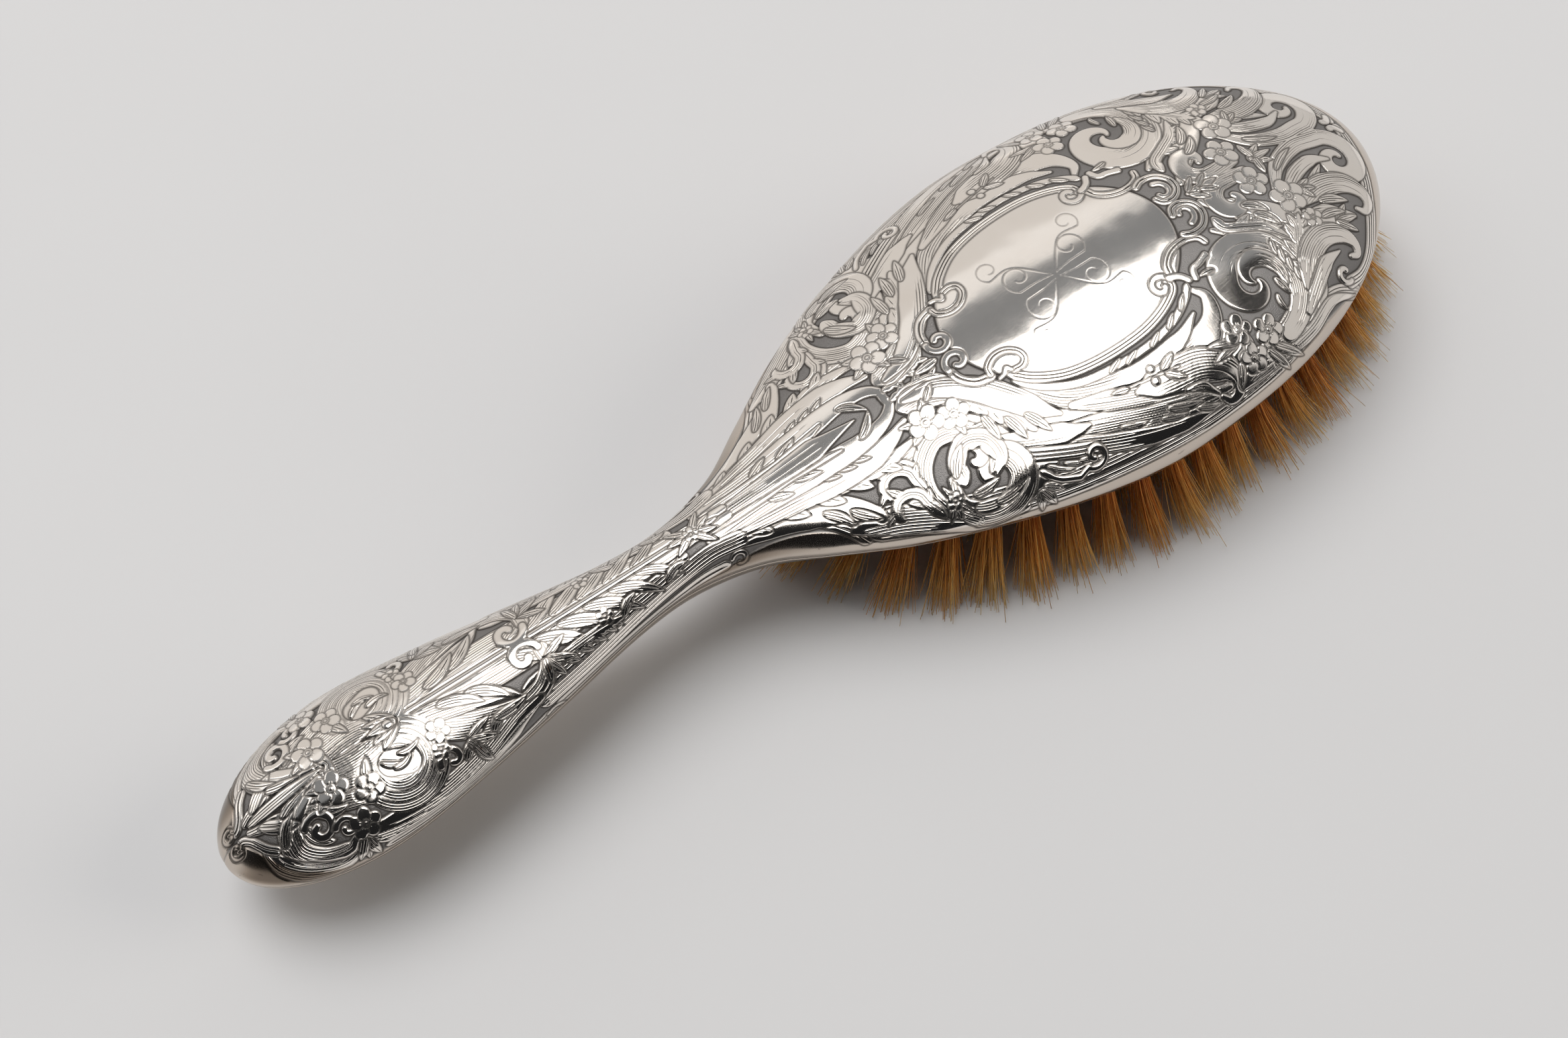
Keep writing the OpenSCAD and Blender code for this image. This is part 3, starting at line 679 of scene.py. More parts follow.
    # scrolls and leaves at the end
    ribbon([(-102, 1), (-106, 2), (-109, 5), (-109.6, 8.6), (-107, 11.8), (-103, 13.2), (-100.6, 11.8)],
            [0.8, 1.5, 1.6, 1.5, 1.4, 1.2, 0.5], hatch=1.3, spacing=0.4, dome=0.16)
    ribbon([(-113.6, 4), (-112.6, 8.4), (-109.6, 12.2), (-105, 14.8), (-101.2, 14.4)], [0.5, 1, 1.2, 1,
            0.3], hatch=1.3, spacing=0.4)
    leaves((-104.6, 4.4, 70, 6, 1, -80, 0.06), (-106.8, 5.6, 96, 6, 1, -70, 0.06))
    band(volute(-105, 7.6, 2.6, 0.6, -150, 250), 0.66, top=0.09, dome=0.12)
    band(volute(-101.6, 9.9, 1.8, 0.5, 200, 560), 0.55, top=0.09, dome=0.12)
    band([(-117, 2.2), (-116.2, 0.9), (-114.8, 1.8), (-113.4, 4.4), (-112, 6)], 0.7, top=0.04, lines=1)
    band(volute(-117.2, 1.2, 1.2, 0.4, 60, 330), 0.42, top=0.06)
    leaves((-114.6, 0.6, 24, 7, 1.1, -20, 0.02), (-112.4, 1.4, 44, 6.4, 1.1, -20, 0.04),
            (-110.8, 6.4, -70, 5.4, 0.9, 50, 0.06), (-109, 2.6, -30, 5.6, 0.9, 30, 0.06),
            (-114, 0, 0, 14, 1.1, 0, 0.06))
    for a, l in ((104, 4.2), (78, 4.6), (128, 4.0)):
        petal((-100.2, 12.8), a, l, 0.85, top=0.08)
    # flowers of the bulb
    spray((-100.2, 3.4), (-70, 200, 150), 4.4, 0.9, top=0.05)
    petal((-96, 6.2), -60, 4.2, 0.8, top=0.05)
    flower(-99, 11, 2.5, 0)
    flower(-95.8, 6.9, 2.4, 36)
    flower(-100.6, 3.6, 2.7, 15)
    # end of the stem on the bulb
    spray((-87, 0), (140, 160, 180), 5.2, 0.9, top=0.1)
    bead(-88.4, 0, 0.8)


# ---- Meshes ----
BACK_STEP, BACK_COLS = 0.16, 512    # mesh of the stamped back: row step in mm, cells across
JOIN = -9.0                         # where the back's mesh doubles its columns, at the neck
INNER_COLS = 12
UNDER_STEP, UNDER_COLS = 0.5, 48    # the same for the underside
RIM_RINGS, LIP_RINGS = 22, 8
SHOULDER, ROLL_W = 0.7, 0.03        # shares of the half width, see crown
UV_X, UV_V = HALF + 0.5, 43.0       # half the stretch of the bake map along and across the back
BRISTLES_BORDER, BRISTLES_INNER = 136, 96   # in each tuft
BRISTLE_SEGMENTS, BRISTLE_SIDES = 4, 3
BRISTLE_R = 0.11
ROOT_R, END_R = 1.25, 2.7           # spread of a tuft's bristles in the block and at their ends


def new_object(name, data):
    """An object in the scene."""
    made = bpy.data.objects.new(name, data)
    bpy.context.scene.collection.objects.link(made)
    return made


def add_attribute(mesh, key, values):
    mesh.attributes.new(key, "FLOAT", "POINT").data.foreach_set("value", values.astype(np.float32))


def new_mesh(name, verts, faces, material, attributes=None, uv=None):
    """A mesh object from vertices in mm and a list of face index arrays, one array per corner count."""
    mesh = bpy.data.meshes.new(name)
    counts = np.concatenate([np.full(len(f), f.shape[1]) for f in faces])
    loops = np.concatenate([f.ravel() for f in faces]).astype(np.int32)
    starts = np.concatenate([[0], np.cumsum(counts)[:-1]]).astype(np.int32)
    mesh.vertices.add(len(verts))
    mesh.vertices.foreach_set("co", (verts * MM).astype(np.float32).ravel())
    mesh.loops.add(len(loops))
    mesh.loops.foreach_set("vertex_index", loops)
    mesh.polygons.add(len(counts))
    mesh.polygons.foreach_set("loop_start", starts)
    for key, values in (attributes or {}).items():
        add_attribute(mesh, key, values)
    if uv is not None:
        layer = mesh.uv_layers.new(name="OFBake")
        layer.data.foreach_set("uv", uv[loops].astype(np.float32).ravel())
    mesh.update(calc_edges=True)
    mesh.polygons.foreach_set("use_smooth", np.ones(len(counts), bool))
    mesh.materials.append(material)
    piece = new_object(name, mesh)
    return piece


def grid_faces(rows, cols, start=0):
    """Quads of a grid of rows by cols vertices."""
    i, j = np.meshgrid(np.arange(rows - 1), np.arange(cols - 1), indexing="ij")
    a = start + i * cols + j
    return np.stack([a, a + 1, a + cols + 1, a + cols], -1).reshape(-1, 4)


def sample(values, x, v):
    """Bilinear reading of the half of a map of the back that starts at the axis."""
    fx = np.clip((x - MAP_X) / CELL - 0.5, 0, values.shape[0] - 1.001)
    fv = np.clip(np.abs(v) / CELL - 0.5, 0, values.shape[1] - 1.001)
    i, j = fx.astype(int), fv.astype(int)
    fx, fv = fx - i, fv - j
    return ((values[i, j] * (1 - fv) + values[i, j + 1] * fv) * (1 - fx)
            + (values[i + 1, j] * (1 - fv) + values[i + 1, j + 1] * fv) * fx)


def rows_between(x0, x1, step):
    """Stations along the brush, closer together where the outline falls away at its ends."""
    x = np.linspace(x0, x1, 8001)
    run = np.hypot(np.diff(x), 0.35 * np.diff(half_w(x)))
    along = np.concatenate([[0], np.cumsum(run)])
    n = int(along[-1] / step)
    return np.interp(np.linspace(0, along[-1], n + 1), along, x)


def crown(t, x):
    """Height of the section at angle t over its height at the crown.

    It is an arc that, mostly along the handle, turns into a gentle slope at the shoulder and
    ends in a narrow rolled edge. Slope and roll start at the height where the one before ends.
    """
    s = np.abs(np.sin(t))
    arc = np.cos(t)
    slope = 0.714 - 0.98 * (s - SHOULDER) - 1.75 * (s - SHOULDER) ** 2
    roll = 0.3218 * np.sqrt(np.clip((1 - s) / ROLL_W, 0, 1))
    firm = np.where(s < SHOULDER, arc, np.where(s < 1 - ROLL_W, slope, roll))
    share = 0.35 + 0.65 * smooth(-5, -45, x)
    return arc + share * (firm - arc)


def back_zone(xs, cols, maps):
    """Vertices of one stretch of the stamped back, their v, and each map but the first read at them."""
    t = np.linspace(-math.pi / 2, math.pi / 2, 721)
    xc = xs[:, None]
    w, h, s = half_w(xs)[:, None], top_h(xs)[:, None], seam_h(xs)[:, None]
    step = np.hypot(np.diff(w * np.sin(t), axis=1), np.diff(h * crown(t, xc), axis=1))
    arc = np.concatenate([np.zeros((len(xs), 1)), np.cumsum(step, 1)], 1)
    total = arc[:, -1:]
    v = np.linspace(-0.5, 0.5, cols + 1) * total
    tt = np.stack([np.interp(v[i] + total[i] / 2, arc[i], t) for i in range(len(xs))])
    x = np.broadcast_to(xc, v.shape)
    p = np.stack([x, w * np.sin(tt), s + h * crown(tt, xc)], -1)
    n = np.cross(np.gradient(p, axis=0), np.gradient(p, axis=1))
    n /= np.linalg.norm(n, axis=-1, keepdims=True) + 1e-12
    fade = smooth(0, 1.2, total / 2 - np.abs(v)) * smooth(0, 3, total / 2)
    relief = sample(maps[0], x, v) * emboss(x, v) * fade
    p = p + n * relief[..., None]
    return (p.reshape(-1, 3), v.ravel(), *[sample(values, x, v).ravel() for values in maps[1:]])


def build_back(material):
    """The stamped back and handle top, closed by a plain inner face."""
    maps = [a[:, AXIS:] for a in (height, cover, dirt, flow, hatch_map)]
    xa = rows_between(-HALF + 0.004, JOIN, BACK_STEP)
    xb = rows_between(JOIN + BACK_STEP, HALF - 0.004, BACK_STEP)
    pa, va, *read_a = back_zone(xa, BACK_COLS // 2, maps)
    pb, vb, *read_b = back_zone(xb, BACK_COLS, maps)
    na, nb, ni = BACK_COLS // 2 + 1, BACK_COLS + 1, INNER_COLS + 1
    start_b = len(pa)
    start_i = start_b + len(pb)
    # between the two stretches, three triangles to each wide cell
    j = np.arange(na - 1)
    a0 = (len(xa) - 1) * na + j
    b0 = start_b + 2 * j
    joint = np.concatenate([np.stack(corners, 1) for corners in (
        (a0, b0 + 1, b0), (a0, a0 + 1, b0 + 1), (a0 + 1, b0 + 2, b0 + 1))])
    # inner face, a plain shell below the relief
    xs = np.concatenate([xa, xb])
    t = np.linspace(-math.pi / 2, math.pi / 2, ni)
    wi, hi = (np.maximum(a - SHEET, 0.3 * a)[:, None] for a in (half_w(xs), top_h(xs)))
    xi = np.broadcast_to(xs[:, None] * (1 - SHEET / HALF), (len(xs), ni))
    pi = np.stack([xi, wi * np.sin(t), seam_h(xs)[:, None] + hi * np.cos(t)], -1).reshape(-1, 3)
    # strips and caps that join it to the outer face
    wide = np.concatenate([np.full(len(xa), na), np.full(len(xb), nb)])
    left = np.concatenate([np.arange(len(xa)) * na, start_b + np.arange(len(xb)) * nb])
    right = left + wide - 1
    inner_left = start_i + np.arange(len(xs)) * ni
    inner_right = inner_left + ni - 1
    k = slice(0, -1)
    sides = np.concatenate([
        np.stack([left[k], left[1:], inner_left[1:], inner_left[k]], 1),
        np.stack([right[1:], right[k], inner_right[k], inner_right[1:]], 1)])
    first_cap = np.concatenate([np.arange(na)[::-1], inner_left[0] + np.arange(ni)])[None]
    end_cap = np.concatenate([left[-1] + np.arange(nb), (inner_left[-1] + np.arange(ni))[::-1]])[None]
    faces = [grid_faces(len(xa), na)[:, ::-1], grid_faces(len(xb), nb, start_b)[:, ::-1],
             grid_faces(len(xs), ni, start_i)]
    faces += [f[:, ::-1] for f in (sides, joint, first_cap, end_cap)]
    verts = np.concatenate([pa, pb, pi])
    # the bake map: x along it, v across it, and a narrow strip for the inner face
    v_outer = np.concatenate([va, vb])
    v_inner = np.broadcast_to(t * 10, (len(xs), ni)).ravel()
    uv = np.stack([(verts[:, 0] + UV_X) / (2 * UV_X),
                   np.concatenate([(v_outer + UV_V) / (2 * UV_V) * 0.9, 0.96 + v_inner / 500])], 1)
    zeros = np.zeros(len(pi))
    attributes = {key: np.concatenate([a, b, zeros + (key == "cover")])
                  for key, a, b in zip(("cover", "patina", "flow", "hatch"), read_a, read_b)}
    attributes["rim"] = np.concatenate([rim_tarnish_and_shade(verts[:start_i, 0], v_outer), zeros])
    piece = new_mesh("stamped_back", verts, faces, material, attributes, uv)
    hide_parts("back_shell")
    return piece


def belly_z(x, y):
    """Height of the underside's outer face."""
    round_off = np.sqrt(np.clip(1 - (y / np.maximum(half_w(x), 1e-6)) ** 2, 0, 1))
    return seam_h(x) - belly_d(x) * round_off


def opening_w(x):
    """Half width of the bristle opening at x."""
    u = (x - OPEN_MID) / OPEN_HALF
    power = np.where(u > 0, 16, 4)
    return (half_w(x) - RIM_W) * np.sqrt(np.clip(1 - np.abs(u) ** power, 0, 1))


def opening_edge(outer, mid):
    """Where the line from mid to each point of the outline leaves the opening."""
    lo, hi = np.zeros(len(outer)), np.ones(len(outer))
    for _ in range(40):
        f = (lo + hi) / 2
        q = mid + (outer - mid) * f[:, None]
        inside = np.abs(q[:, 1]) < opening_w(q[:, 0])
        inside &= np.abs(q[:, 0] - OPEN_MID) < OPEN_HALF
        lo, hi = np.where(inside, f, lo), np.where(inside, hi, f)
    return mid + (outer - mid) * lo[:, None]


def build_underside(material):
    """Handle underside and the lip round the bristle opening, in one smooth sheet."""
    t = np.linspace(-math.pi / 2, math.pi / 2, UNDER_COLS + 1)
    xa = rows_between(-HALF + 0.01, JOIN, UNDER_STEP)
    ya = half_w(xa)[:, None] * np.sin(t)
    xx = np.broadcast_to(xa[:, None], ya.shape)
    handle = np.stack([xx, ya, belly_z(xx, ya)], -1).reshape(-1, 3)
    xb = rows_between(JOIN, HALF - 0.01, UNDER_STEP)[1:]
    outer = np.concatenate([
        np.stack([np.full(len(t), JOIN), half_w(np.array([JOIN])) * np.sin(t)], 1),
        np.stack([xb, half_w(xb)], 1), np.stack([xb[::-1], -half_w(xb[::-1])], 1)])
    mid = np.array([OPEN_MID, 0.0])
    inner = opening_edge(outer, mid)
    rings = []
    for f in 1 - np.cos(np.linspace(0, math.pi / 2, RIM_RINGS)):
        q = outer + (inner - outer) * f
        rings.append(np.column_stack([q, belly_z(q[:, 0], q[:, 1])]))
    # the lip rolls in and runs up to the block
    inward = (mid - inner) / np.linalg.norm(mid - inner, axis=1, keepdims=True)
    base = rings[-1][:, 2]
    for a in np.linspace(0, math.pi, LIP_RINGS)[1:]:
        out = LIP_R * (1 - math.cos(a))
        rings.append(np.column_stack([inner + inward * out, base - LIP_R * math.sin(a) * 0.9]))
    for z in (0.33, 0.66, 1.0):
        up = base + (BLOCK_FACE + 0.2 - base) * z
        rings.append(np.column_stack([inner + inward * 2 * LIP_R, up]))
    n_ring = len(outer)
    idx = np.arange(n_ring)
    nxt = (idx + 1) % n_ring
    faces = [grid_faces(len(xa), len(t))]
    for k in range(len(rings) - 1):
        a = len(handle) + k * n_ring
        b = a + n_ring
        faces.append(np.stack([a + idx, a + nxt, b + nxt, b + idx], 1))
    verts = np.concatenate([handle, *rings])
    piece = new_mesh("under_stamping", verts, faces, material)
    bm = bmesh.new()
    bm.from_mesh(piece.data)
    bmesh.ops.remove_doubles(bm, verts=bm.verts, dist=1e-6)
    bmesh.ops.recalc_face_normals(bm, faces=bm.faces)
    low = min(bm.faces, key=lambda f: f.calc_center_median().z)
    if low.normal.z > 0:
        bmesh.ops.reverse_faces(bm, faces=bm.faces)
    bm.to_mesh(piece.data)
    bm.free()
    solid = piece.modifiers.new("sheet", "SOLIDIFY")
    solid.thickness, solid.offset, solid.use_even_offset = 0.35 * MM, -1, False
    bpy.context.view_layer.update()
    seen = piece.evaluated_get(bpy.context.evaluated_depsgraph_get())
    done = bpy.data.meshes.new_from_object(seen)
    piece.modifiers.clear()
    piece.data = done
    # rim at 1 gives the whole underside the rim's colour: tarnish and painted shade
    for key in ("cover", "patina", "flow", "hatch", "rim"):
        add_attribute(done, key, np.full(len(done.vertices), key in ("cover", "rim")))
    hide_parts("under_shell")
    return piece


def tuft_ends(node):
    """Centres of each tuft's two ends, in mm, read from the CAD row and sorted along the brush."""
    co = np.array([v.co for v in nodes[node].data.vertices]) / MM
    ends_of = []
    for z in (co[:, 2].min(), co[:, 2].max()):
        level = co[np.abs(co[:, 2] - z) < 0.02]
        groups = []
        for p in level[np.argsort(level[:, 0])]:
            near = [g for g in groups if np.hypot(*(np.mean(g, 0)[:2] - p[:2])) < 4.0]
            if near:
                near[-1].append(p)
            else:
                groups.append([p])
        centres = np.array([(np.min(g, 0) + np.max(g, 0)) / 2 for g in groups])
        ends_of.append(centres[np.argsort(centres[:, 0])])
    return ends_of


def build_row(node, name, per_tuft, splay, material):
    """Every bristle of one drawn row, as thin bent tapering fibres.

    splay is how strongly the row leans out, 1 for a border row.
    """
    tips, roots = tuft_ends(node)
    n_tufts = min(len(tips), len(roots))
    n = n_tufts * per_tuft
    which = np.repeat(np.arange(n_tufts), per_tuft)
    tip, top = tips[which], roots[which]
    axis = tip - top
    axis_len = np.linalg.norm(axis, axis=1, keepdims=True)
    k0 = (top[:, 2] - (BLOCK_FACE + 0.8)) / (top[:, 2] - tip[:, 2])
    root = top + axis * k0[:, None]
    dense = smooth(30, 90, root[:, 0])      # towards the head tip the tufts fan out until they meet
    neck = splay * smooth(45, -5, root[:, 0])     # and towards the neck they lean back
    # one lean for each tuft, then a spread for each bristle in it
    out = np.sign(tip[:, 1]) * np.minimum(1, np.abs(tip[:, 1]) / 18)
    out = np.where(out > 0, 0.35 * out, out)    # the far side leans out less
    neck = neck * np.where(out > 0, 0.3, 1.0)
    far = (tip[:, 0] - OPEN_MID) / OPEN_HALF
    tuft_lean = rng.normal(0, 0.55, (n_tufts, 2))[which]
    r = np.sqrt(rng.random(n))
    a = rng.random(n) * 2 * math.pi
    disc = np.stack([r * np.cos(a), r * np.sin(a)], 1)
    stray = (rng.random(n) < 0.1)[:, None] * rng.normal(0, 1.5, (n, 2))
    root[:, :2] += disc * ROOT_R
    end = tip.copy()
    fan = END_R + 0.6 * splay + 0.7 * dense[:, None]
    end[:, :2] += disc * fan + tuft_lean + stray + rng.normal(0, 0.3, (n, 2))
    end[:, 1] += out * splay * (2.6 + 4.2 * rng.random(n)) + out * neck * 2.6
    end[:, 0] += far * splay * (2.0 + 3.0 * rng.random(n)) - neck * (2.0 + 3.5 * rng.random(n))
    end[:, 2] = 0.08 + np.abs(rng.normal(0, 0.75, n)) + 0.9 * rng.random(n) * r
    bend = root + axis / axis_len * (root[:, 2:] - end[:, 2:]) * 0.55
    bend[:, :2] += disc * 0.5 + rng.normal(0, 0.25, (n, 2))
    # each fibre is a thin tapering tube along a curve from root by bend to end
    segs, sides = BRISTLE_SEGMENTS, BRISTLE_SIDES
    per = (segs + 1) * sides
    s = np.linspace(0, 1, segs + 1)[:, None, None]
    path = root * (1 - s) ** 2 + bend * 2 * s * (1 - s) + end * s**2
    thick = (BRISTLE_R + 0.03 * rng.random(n)) * (1 - 0.55 * s[:, :, 0])
    turn = rng.random(n) * 2 * math.pi
    ring = []
    for k in range(sides):
        ang = turn + k * 2 * math.pi / sides
        ring.append(path + np.stack([np.cos(ang) * thick, np.sin(ang) * thick, 0 * thick], -1))
    verts = np.stack(ring, 2).transpose(1, 0, 2, 3).reshape(-1, 3)  # bristle, segment, side
    verts[:, 2] = np.maximum(verts[:, 2], 0.02)
    base = np.arange(n)[:, None] * per
    quads = []
    for i in range(segs):
        for k in range(sides):
            a0, a1 = i * sides + k, i * sides + (k + 1) % sides
            quads.append(base + np.array([[a0, a0 + sides, a1 + sides, a1]]))
    caps = [base + np.array([[0, 1, 2]]), base + segs * sides + np.array([[2, 1, 0]])]
    # each bristle and tuft varies at random, and tufts towards the head tip are made paler as painted light
    tone_and_painted_light = rng.normal(0.5, 0.2, n) + 0.22 * dense + 0.12 * rng.normal(0, 1, n_tufts)[which]
    attributes = {"tone_and_painted_light": np.repeat(np.clip(tone_and_painted_light, 0, 1), per),
                  "along": np.tile(np.repeat(np.linspace(0, 1, segs + 1), sides), n)}
    faces = [np.concatenate(quads), np.concatenate(caps)]
    piece = new_mesh(name, verts, faces, material, attributes)
    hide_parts(node)
    return piece


# ---- Materials ----
class Nodes:
    """Short hand for building a material's node tree."""

    def __init__(self, name):
        self.material = bpy.data.materials.new(name)
        self.material.use_nodes = True
        self.tree = self.material.node_tree

    def add(self, kind, **props):
        node = self.tree.nodes.new("ShaderNode" + kind)
        for key, value in props.items():
            if key in node.inputs:
                node.inputs[key].default_value = value
            else:
                setattr(node, key, value)
        return node

    def feed(self, socket, value):
        """Links an output to a socket, or sets the socket to a colour or a number."""
        if isinstance(value, bpy.types.NodeSocket):
            self.tree.links.new(value, socket)
        else:
            socket.default_value = value + (1,) if isinstance(value, tuple) else value

    def attribute(self, name):
        return self.add("Attribute", attribute_name=name).outputs["Fac"]

    def noise(self, scale, detail=4.0, rough=0.55):
        """Noise in the piece's own place in metres, stretched by scale."""
        mapping = self.add("Mapping", Scale=scale if isinstance(scale, tuple) else (scale,) * 3)
        self.feed(mapping.inputs["Vector"], self.add("TexCoord").outputs["Object"])
        node = self.add("TexNoise", Detail=detail, Roughness=rough, Scale=1.0)
        self.feed(node.inputs["Vector"], mapping.outputs["Vector"])
        return node.outputs["Fac"]

    def ramp(self, value, *stops):
        node = self.add("ValToRGB")
        self.feed(node.inputs["Fac"], value)
        marks = node.color_ramp.elements
        while len(marks) < len(stops):
            marks.new(0.5)
        for mark, (place, colour) in zip(marks, stops):
            mark.position = place
            mark.color = (colour if isinstance(colour, tuple) else (colour,) * 3) + (1,)
        return node.outputs["Color"]

    def mix(self, fac, a, b):
        node = self.add("Mix", data_type="RGBA")
        for place, value in ((0, fac), (6, a), (7, b)):
            self.feed(node.inputs[place], value)
        return node.outputs[2]

    def math(self, op, *values, clamp=False):
        node = self.add("Math", operation=op, use_clamp=clamp)
        for socket, value in zip(node.inputs, values):
            self.feed(socket, value)
        return node.outputs[0]

    def times(self, a, b):
        """The product, kept between 0 and 1."""
        return self.math("MULTIPLY", a, b, clamp=True)

    def bump(self, height, strength, distance, normal=None):
        node = self.add("Bump", Strength=strength, Distance=distance)
        self.feed(node.inputs["Height"], height)
        if normal is not None:
            self.feed(node.inputs["Normal"], normal)
        return node.outputs["Normal"]

    def surface(self, colour, rough, normal=None, **fixed):
        """Wires up the shader, sets its fixed inputs and returns the material."""
        inputs = self.tree.nodes["Principled BSDF"].inputs
        self.feed(inputs["Base Color"], colour)
        self.feed(inputs["Roughness"], rough)
        if normal is not None:
            self.feed(inputs["Normal"], normal)
        for key, value in fixed.items():
            inputs[key.replace("_", " ")].default_value = value
        return self.material


def silver():
    """Polished silver, dark in its lines, matte grey in the stippled ground, tarnished at the rim, where
    painted shade also darkens it as a darker reflection of its shaded surroundings.
    """
    m = Nodes("silver")
    patina, cover, rim = m.attribute("patina"), m.attribute("cover"), m.attribute("rim")
    ground = m.math("SUBTRACT", 1.0, cover, clamp=True)
    # where rim goes past 1: heavier tarnish and a painted dark reflection on the handle's rolled edge
    heavy_tarnish_and_shade = m.math("SUBTRACT", rim, 1.0, clamp=True)
    aside = m.math("ABSOLUTE", m.math("SUBTRACT", m.math("FRACT", m.attribute("flow")), 0.5))
    line = m.times(m.ramp(aside, (0.09, 1.0), (0.24, 0.0)), m.attribute("hatch"))
    cloud = m.noise(90.0, 5.0, 0.6)
    specks = m.ramp(m.noise((260.0, 900.0, 900.0), 3.0, 0.7), (0.66, 0.0), (0.72, 1.0))
    patches = m.ramp(m.noise(60.0), (0.44, 0.0), (0.56, 1.0))
    specks = m.times(specks, m.times(m.math("MINIMUM", rim, 1.0), patches))
    colour = m.mix(m.times(m.ramp(cloud, (0.35, 0.0), (0.7, 1.0)), 0.35),
                   (0.94, 0.885, 0.825), (0.84, 0.76, 0.68))
    # the rim's brown tint is tarnish and painted shade, a darker reflection than the lit floor gives
    for amount, share, shade in (
            (rim, 0.62, (0.50, 0.41, 0.33)), (heavy_tarnish_and_shade, 0.7, (0.10, 0.078, 0.06)),
            (specks, 0.75, (0.10, 0.08, 0.065)), (ground, 0.85, (0.15, 0.145, 0.145)),
            (patina, 0.92, (0.045, 0.036, 0.030)), (line, 0.95, (0.06, 0.05, 0.042))):
        colour = m.mix(m.times(amount, share), colour, shade)
    rough = m.math("MULTIPLY_ADD", m.noise((900.0, 5000.0, 5000.0), 2.0), 0.10, 0.07)
    for amount, share in ((ground, 0.38), (patina, 0.28), (rim, 0.05)):
        rough = m.math("ADD", rough, m.math("MULTIPLY", amount, share), clamp=True)
    stipple = m.math("MULTIPLY", m.noise(5200.0, 2.0), ground)
    normal = m.bump(m.math("SUBTRACT", stipple, m.math("MULTIPLY", line, 0.5)), 0.8, 0.00012)
    normal = m.bump(m.noise(60.0, 2.0), 0.5, 0.0006, normal)
    normal = m.bump(m.noise((2600.0, 420.0, 420.0), 3.0, 0.7), 0.12, 0.00002, normal)
    return m.surface(colour, rough, normal, Metallic=1.0)


def plain_silver():
    """Silver of the inner collar."""
    m = Nodes("silver_inner")
    colour = m.ramp(m.noise(140.0), (0.35, (0.72, 0.68, 0.62)), (0.7, (0.42, 0.38, 0.33)))
    return m.surface(colour, m.ramp(m.noise(900.0), (0.3, 0.25), (0.7, 0.45)), Metallic=1.0)


def mottled(name, noise, first, second, rough, bump=None, **fixed):
    """A material whose one noise runs between two colours and two roughnesses, at set places."""
    m = Nodes(name)
    cloud = m.noise(*noise)
    normal = m.bump(cloud, *bump) if bump else None
    return m.surface(m.ramp(cloud, first, second), m.ramp(cloud, *rough), normal, **fixed)


def wood(name, light, dark, rough):
    return mottled(name, ((60.0, 900.0, 400.0), 5.0, 0.65), (0.3, dark), (0.7, light),
                   ((0.3, rough), (0.8, rough + 0.15)), (0.3, 0.0001))


def bristle():
    """Amber bristle, redder and darker at the root, partly as painted shade under the head, and pale at the
    tip.
    """
    m = Nodes("bristle")
    tone_and_painted_light, along = m.attribute("tone_and_painted_light"), m.attribute("along")
    # both ramps darken towards the root, partly painted shade under the head
    deep = m.ramp(along, (0.0, (0.14, 0.026, 0.006)), (0.35, (0.50, 0.115, 0.017)),
                  (0.75, (0.74, 0.25, 0.036)), (1.0, (0.84, 0.41, 0.10)))
    pale = m.ramp(along, (0.0, (0.24, 0.055, 0.012)), (0.35, (0.86, 0.32, 0.055)),
                  (0.75, (0.98, 0.57, 0.16)), (1.0, (0.98, 0.76, 0.36)))
    colour = m.mix(m.ramp(tone_and_painted_light, (0.15, 0.0), (0.85, 1.0)), deep, pale)
    fleck = m.noise(1200.0)
    colour = m.mix(m.times(fleck, 0.3), colour, (0.40, 0.15, 0.04))
    return m.surface(colour, m.ramp(fleck, (0.3, 0.3), (0.7, 0.5)), Specular_IOR_Level=0.2)


# ---- Build ----
ornament()
SILVER, BRISTLE = silver(), bristle()
pieces = [build_back(SILVER), build_underside(SILVER)]
for node in sorted(n for n in nodes if n.startswith("tufts_")):
    per_tuft, splay = (BRISTLES_BORDER, 1.0) if "border" in node else (BRISTLES_INNER, 0.5)
    name = node.replace("tufts_", "bristles_")
    pieces.append(build_row(node, name, per_tuft, splay, BRISTLE))
for piece in pieces:
    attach(piece, "root")

FINISHES = {
    "silver": plain_silver(),
    # the block's dark reddish colour is partly painted shade inside the head
    "block_wood": wood("block_wood", (0.15, 0.055, 0.028), (0.06, 0.02, 0.011), 0.45),
    "veneer_wood": wood("veneer_wood", (0.50, 0.34, 0.20), (0.32, 0.19, 0.10), 0.6),
    "filler": mottled("pitch_filler", (400.0,), (0.3, (0.02, 0.017, 0.014)), (0.8, (0.06, 0.05, 0.04)),
                      ((0.3, 0.5), (0.8, 0.8)), (0.4, 0.0002)),
    "bristle": BRISTLE,
    "wire": mottled("brass_wire", (500.0,), (0.3, (0.62, 0.42, 0.16)), (0.7, (0.80, 0.60, 0.28)),
                    ((0.3, 0.25), (0.8, 0.45)), Metallic=1.0)}
for part in frame["record"]["subparts"]:
    slots = nodes[part["node"]].data.materials
    slots.clear()
    slots.append(FINISHES[part["material_slot"]])


# ---- Stage: floor, soft lights and the camera ----
def floor():
    """Matt paper, far wider than the picture."""
    mesh = bpy.data.meshes.new("floor")
    r = 8
    mesh.from_pydata([(-r, -r, 0), (r, -r, 0), (r, r, 0), (-r, r, 0)], [], [(0, 1, 2, 3)])
    mesh.materials.append(mottled(
        "paper_floor", (9.0, 2.0), (0.3, (0.76, 0.755, 0.76)), (0.7, (0.775, 0.77, 0.775)),
        ((0.3, 0.75), (0.7, 0.8)), Specular_IOR_Level=0.2))
    new_object("floor", mesh)


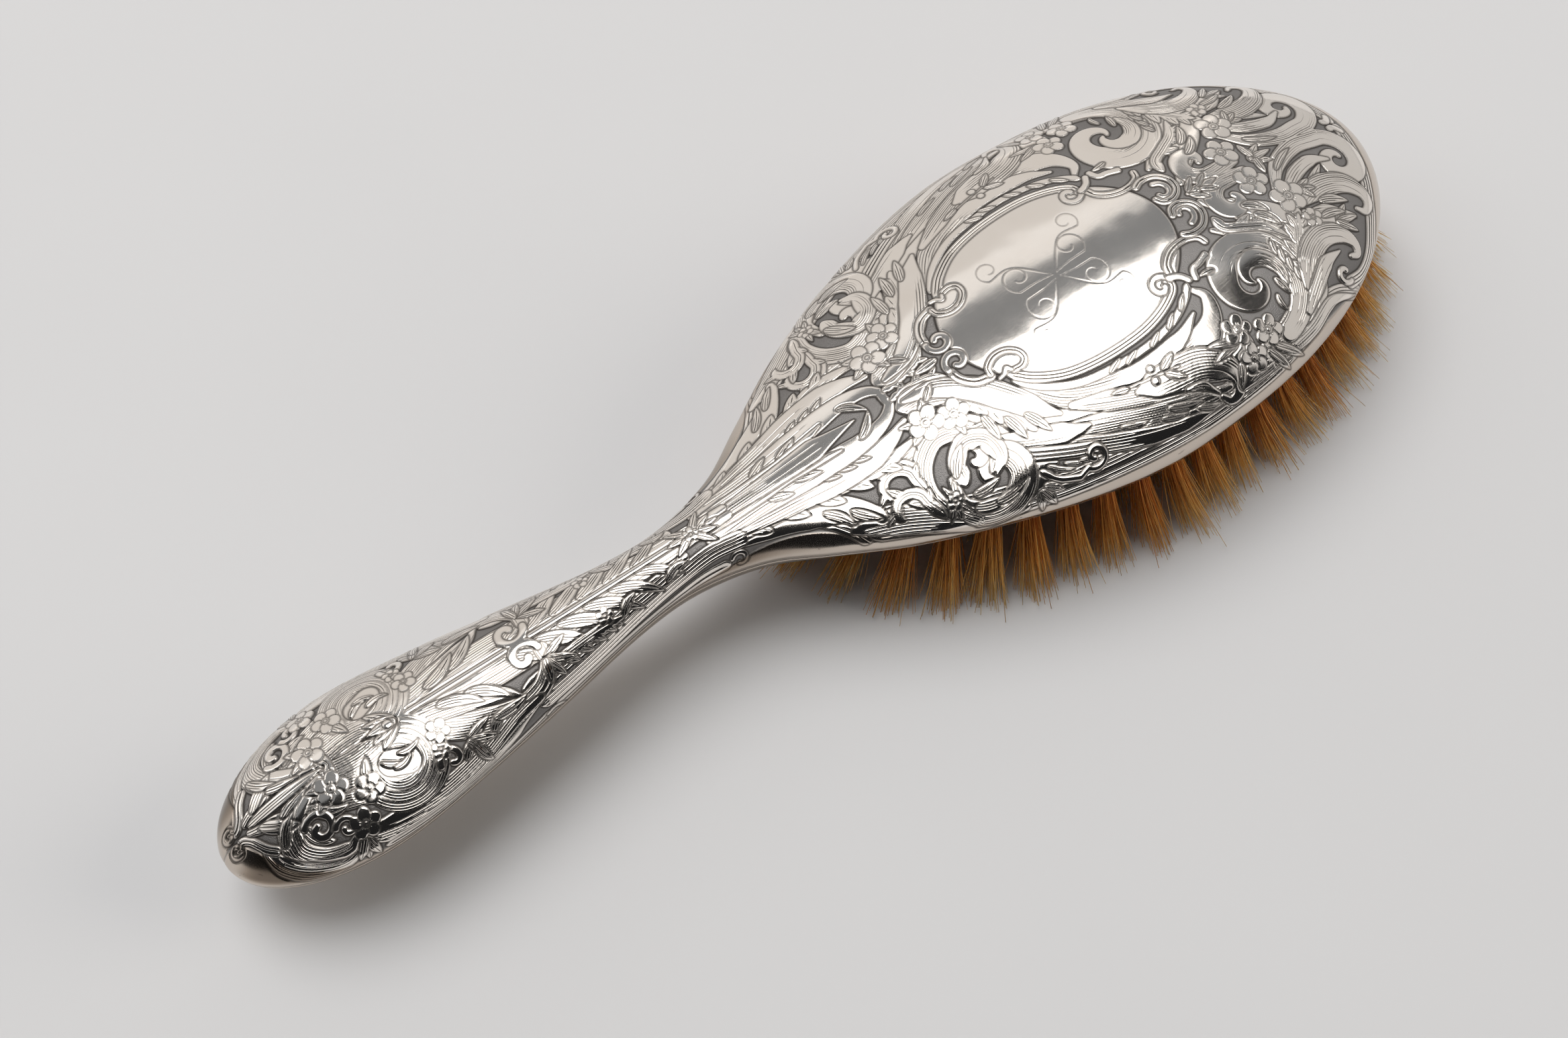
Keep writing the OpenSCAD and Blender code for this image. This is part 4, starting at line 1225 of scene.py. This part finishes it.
def aim(light, way):
    light.rotation_euler = Vector(way).to_track_quat("-Z", "Y").to_euler()


def softbox(name, place, target, size, radiance, tint=(1, 1, 1)):
    """Rectangular light that shows as an even patch of the given radiance."""
    lamp = bpy.data.lights.new(name, "AREA")
    lamp.shape, lamp.size, lamp.size_y = "RECTANGLE", size[0], size[1]
    lamp.energy = radiance * math.pi * size[0] * size[1]
    lamp.color = tint
    light = new_object(name, lamp)
    light.location = place
    aim(light, Vector(target) - Vector(place))
    return light


def soft_sun(name, way, energy, angle, tint):
    """Light from all of a wide round patch of sky, which shows in no reflection."""
    lamp = bpy.data.lights.new(name, "SUN")
    lamp.energy, lamp.angle, lamp.color = energy, math.radians(angle), tint
    light = new_object(name, lamp)
    aim(light, way)
    light.visible_glossy = False


def surroundings():
    """Dim bluish light from all round; the camera itself sees a pale wall there."""
    world = bpy.data.worlds.new("studio")
    world.use_nodes = True
    tree = world.node_tree
    sky, seen = tree.nodes["Background"], tree.nodes.new("ShaderNodeBackground")
    for shade, colour, strength in ((sky, (0.9, 0.93, 1.0, 1), 0.014), (seen, (0.62, 0.62, 0.63, 1), 1.0)):
        shade.inputs["Color"].default_value = colour
        shade.inputs["Strength"].default_value = strength
    path, either = tree.nodes.new("ShaderNodeLightPath"), tree.nodes.new("ShaderNodeMixShader")
    for place, output in enumerate((path.outputs["Is Camera Ray"], sky.outputs[0], seen.outputs[0])):
        tree.links.new(output, either.inputs[place])
    tree.links.new(either.outputs[0], tree.nodes["World Output"].inputs[0])
    bpy.context.scene.world = world


floor()
# the window as the silver shows it, and the same light on matt surfaces, a little further back,
# which sets the soft shadow
key = softbox("key_softbox", (0.14, -0.115, 0.62), (0.14, -0.115, 0.0), (0.62, 0.55), 3.2,
              (1.0, 0.99, 0.975))
key.visible_diffuse = False
soft_sun("window_shade", (0.0, -0.5, -0.866), 1.72, 48, (1.0, 1.0, 0.995))
softbox("backdrop_glow", (0.1, 0.80, 0.68), (0.1, 0.0, 0.68), (2.0, 1.36), 0.66, (1.0, 0.965, 0.93))
softbox("ceiling_glow", (0.2, 0.55, 1.45), (0.2, 0.45, 0.0), (2.8, 1.3), 0.22, (0.92, 0.96, 1.0))
softbox("left_glow", (-0.85, 0.55, 0.6), (0.0, 0.0, 0.0), (0.8, 0.8), 0.8)
softbox("right_card", (0.86, -0.06, 0.36), (0.0, 0.02, 0.1), (1.5, 0.7), 0.55, (1.0, 0.98, 0.96))
# low light from the front right, which reaches in under the head
soft_sun("bristle_fill", (-0.85, 0.40, -0.34), 0.85, 30, (1.0, 0.93, 0.83))
surroundings()
bpy.context.scene.view_settings.view_transform = "Standard"

lens = bpy.data.cameras.new("camera")
lens.sensor_width, lens.lens = 36.0, 42.41
lens.clip_start, lens.clip_end = 0.01, 20.0
camera = new_object("camera", lens)
camera.location = (-0.103168, -0.124983, 0.289748)
camera.rotation_euler = (math.radians(28.633), 0, math.radians(-36.131))
bpy.context.scene.camera = camera

bpy.context.view_layer.update()
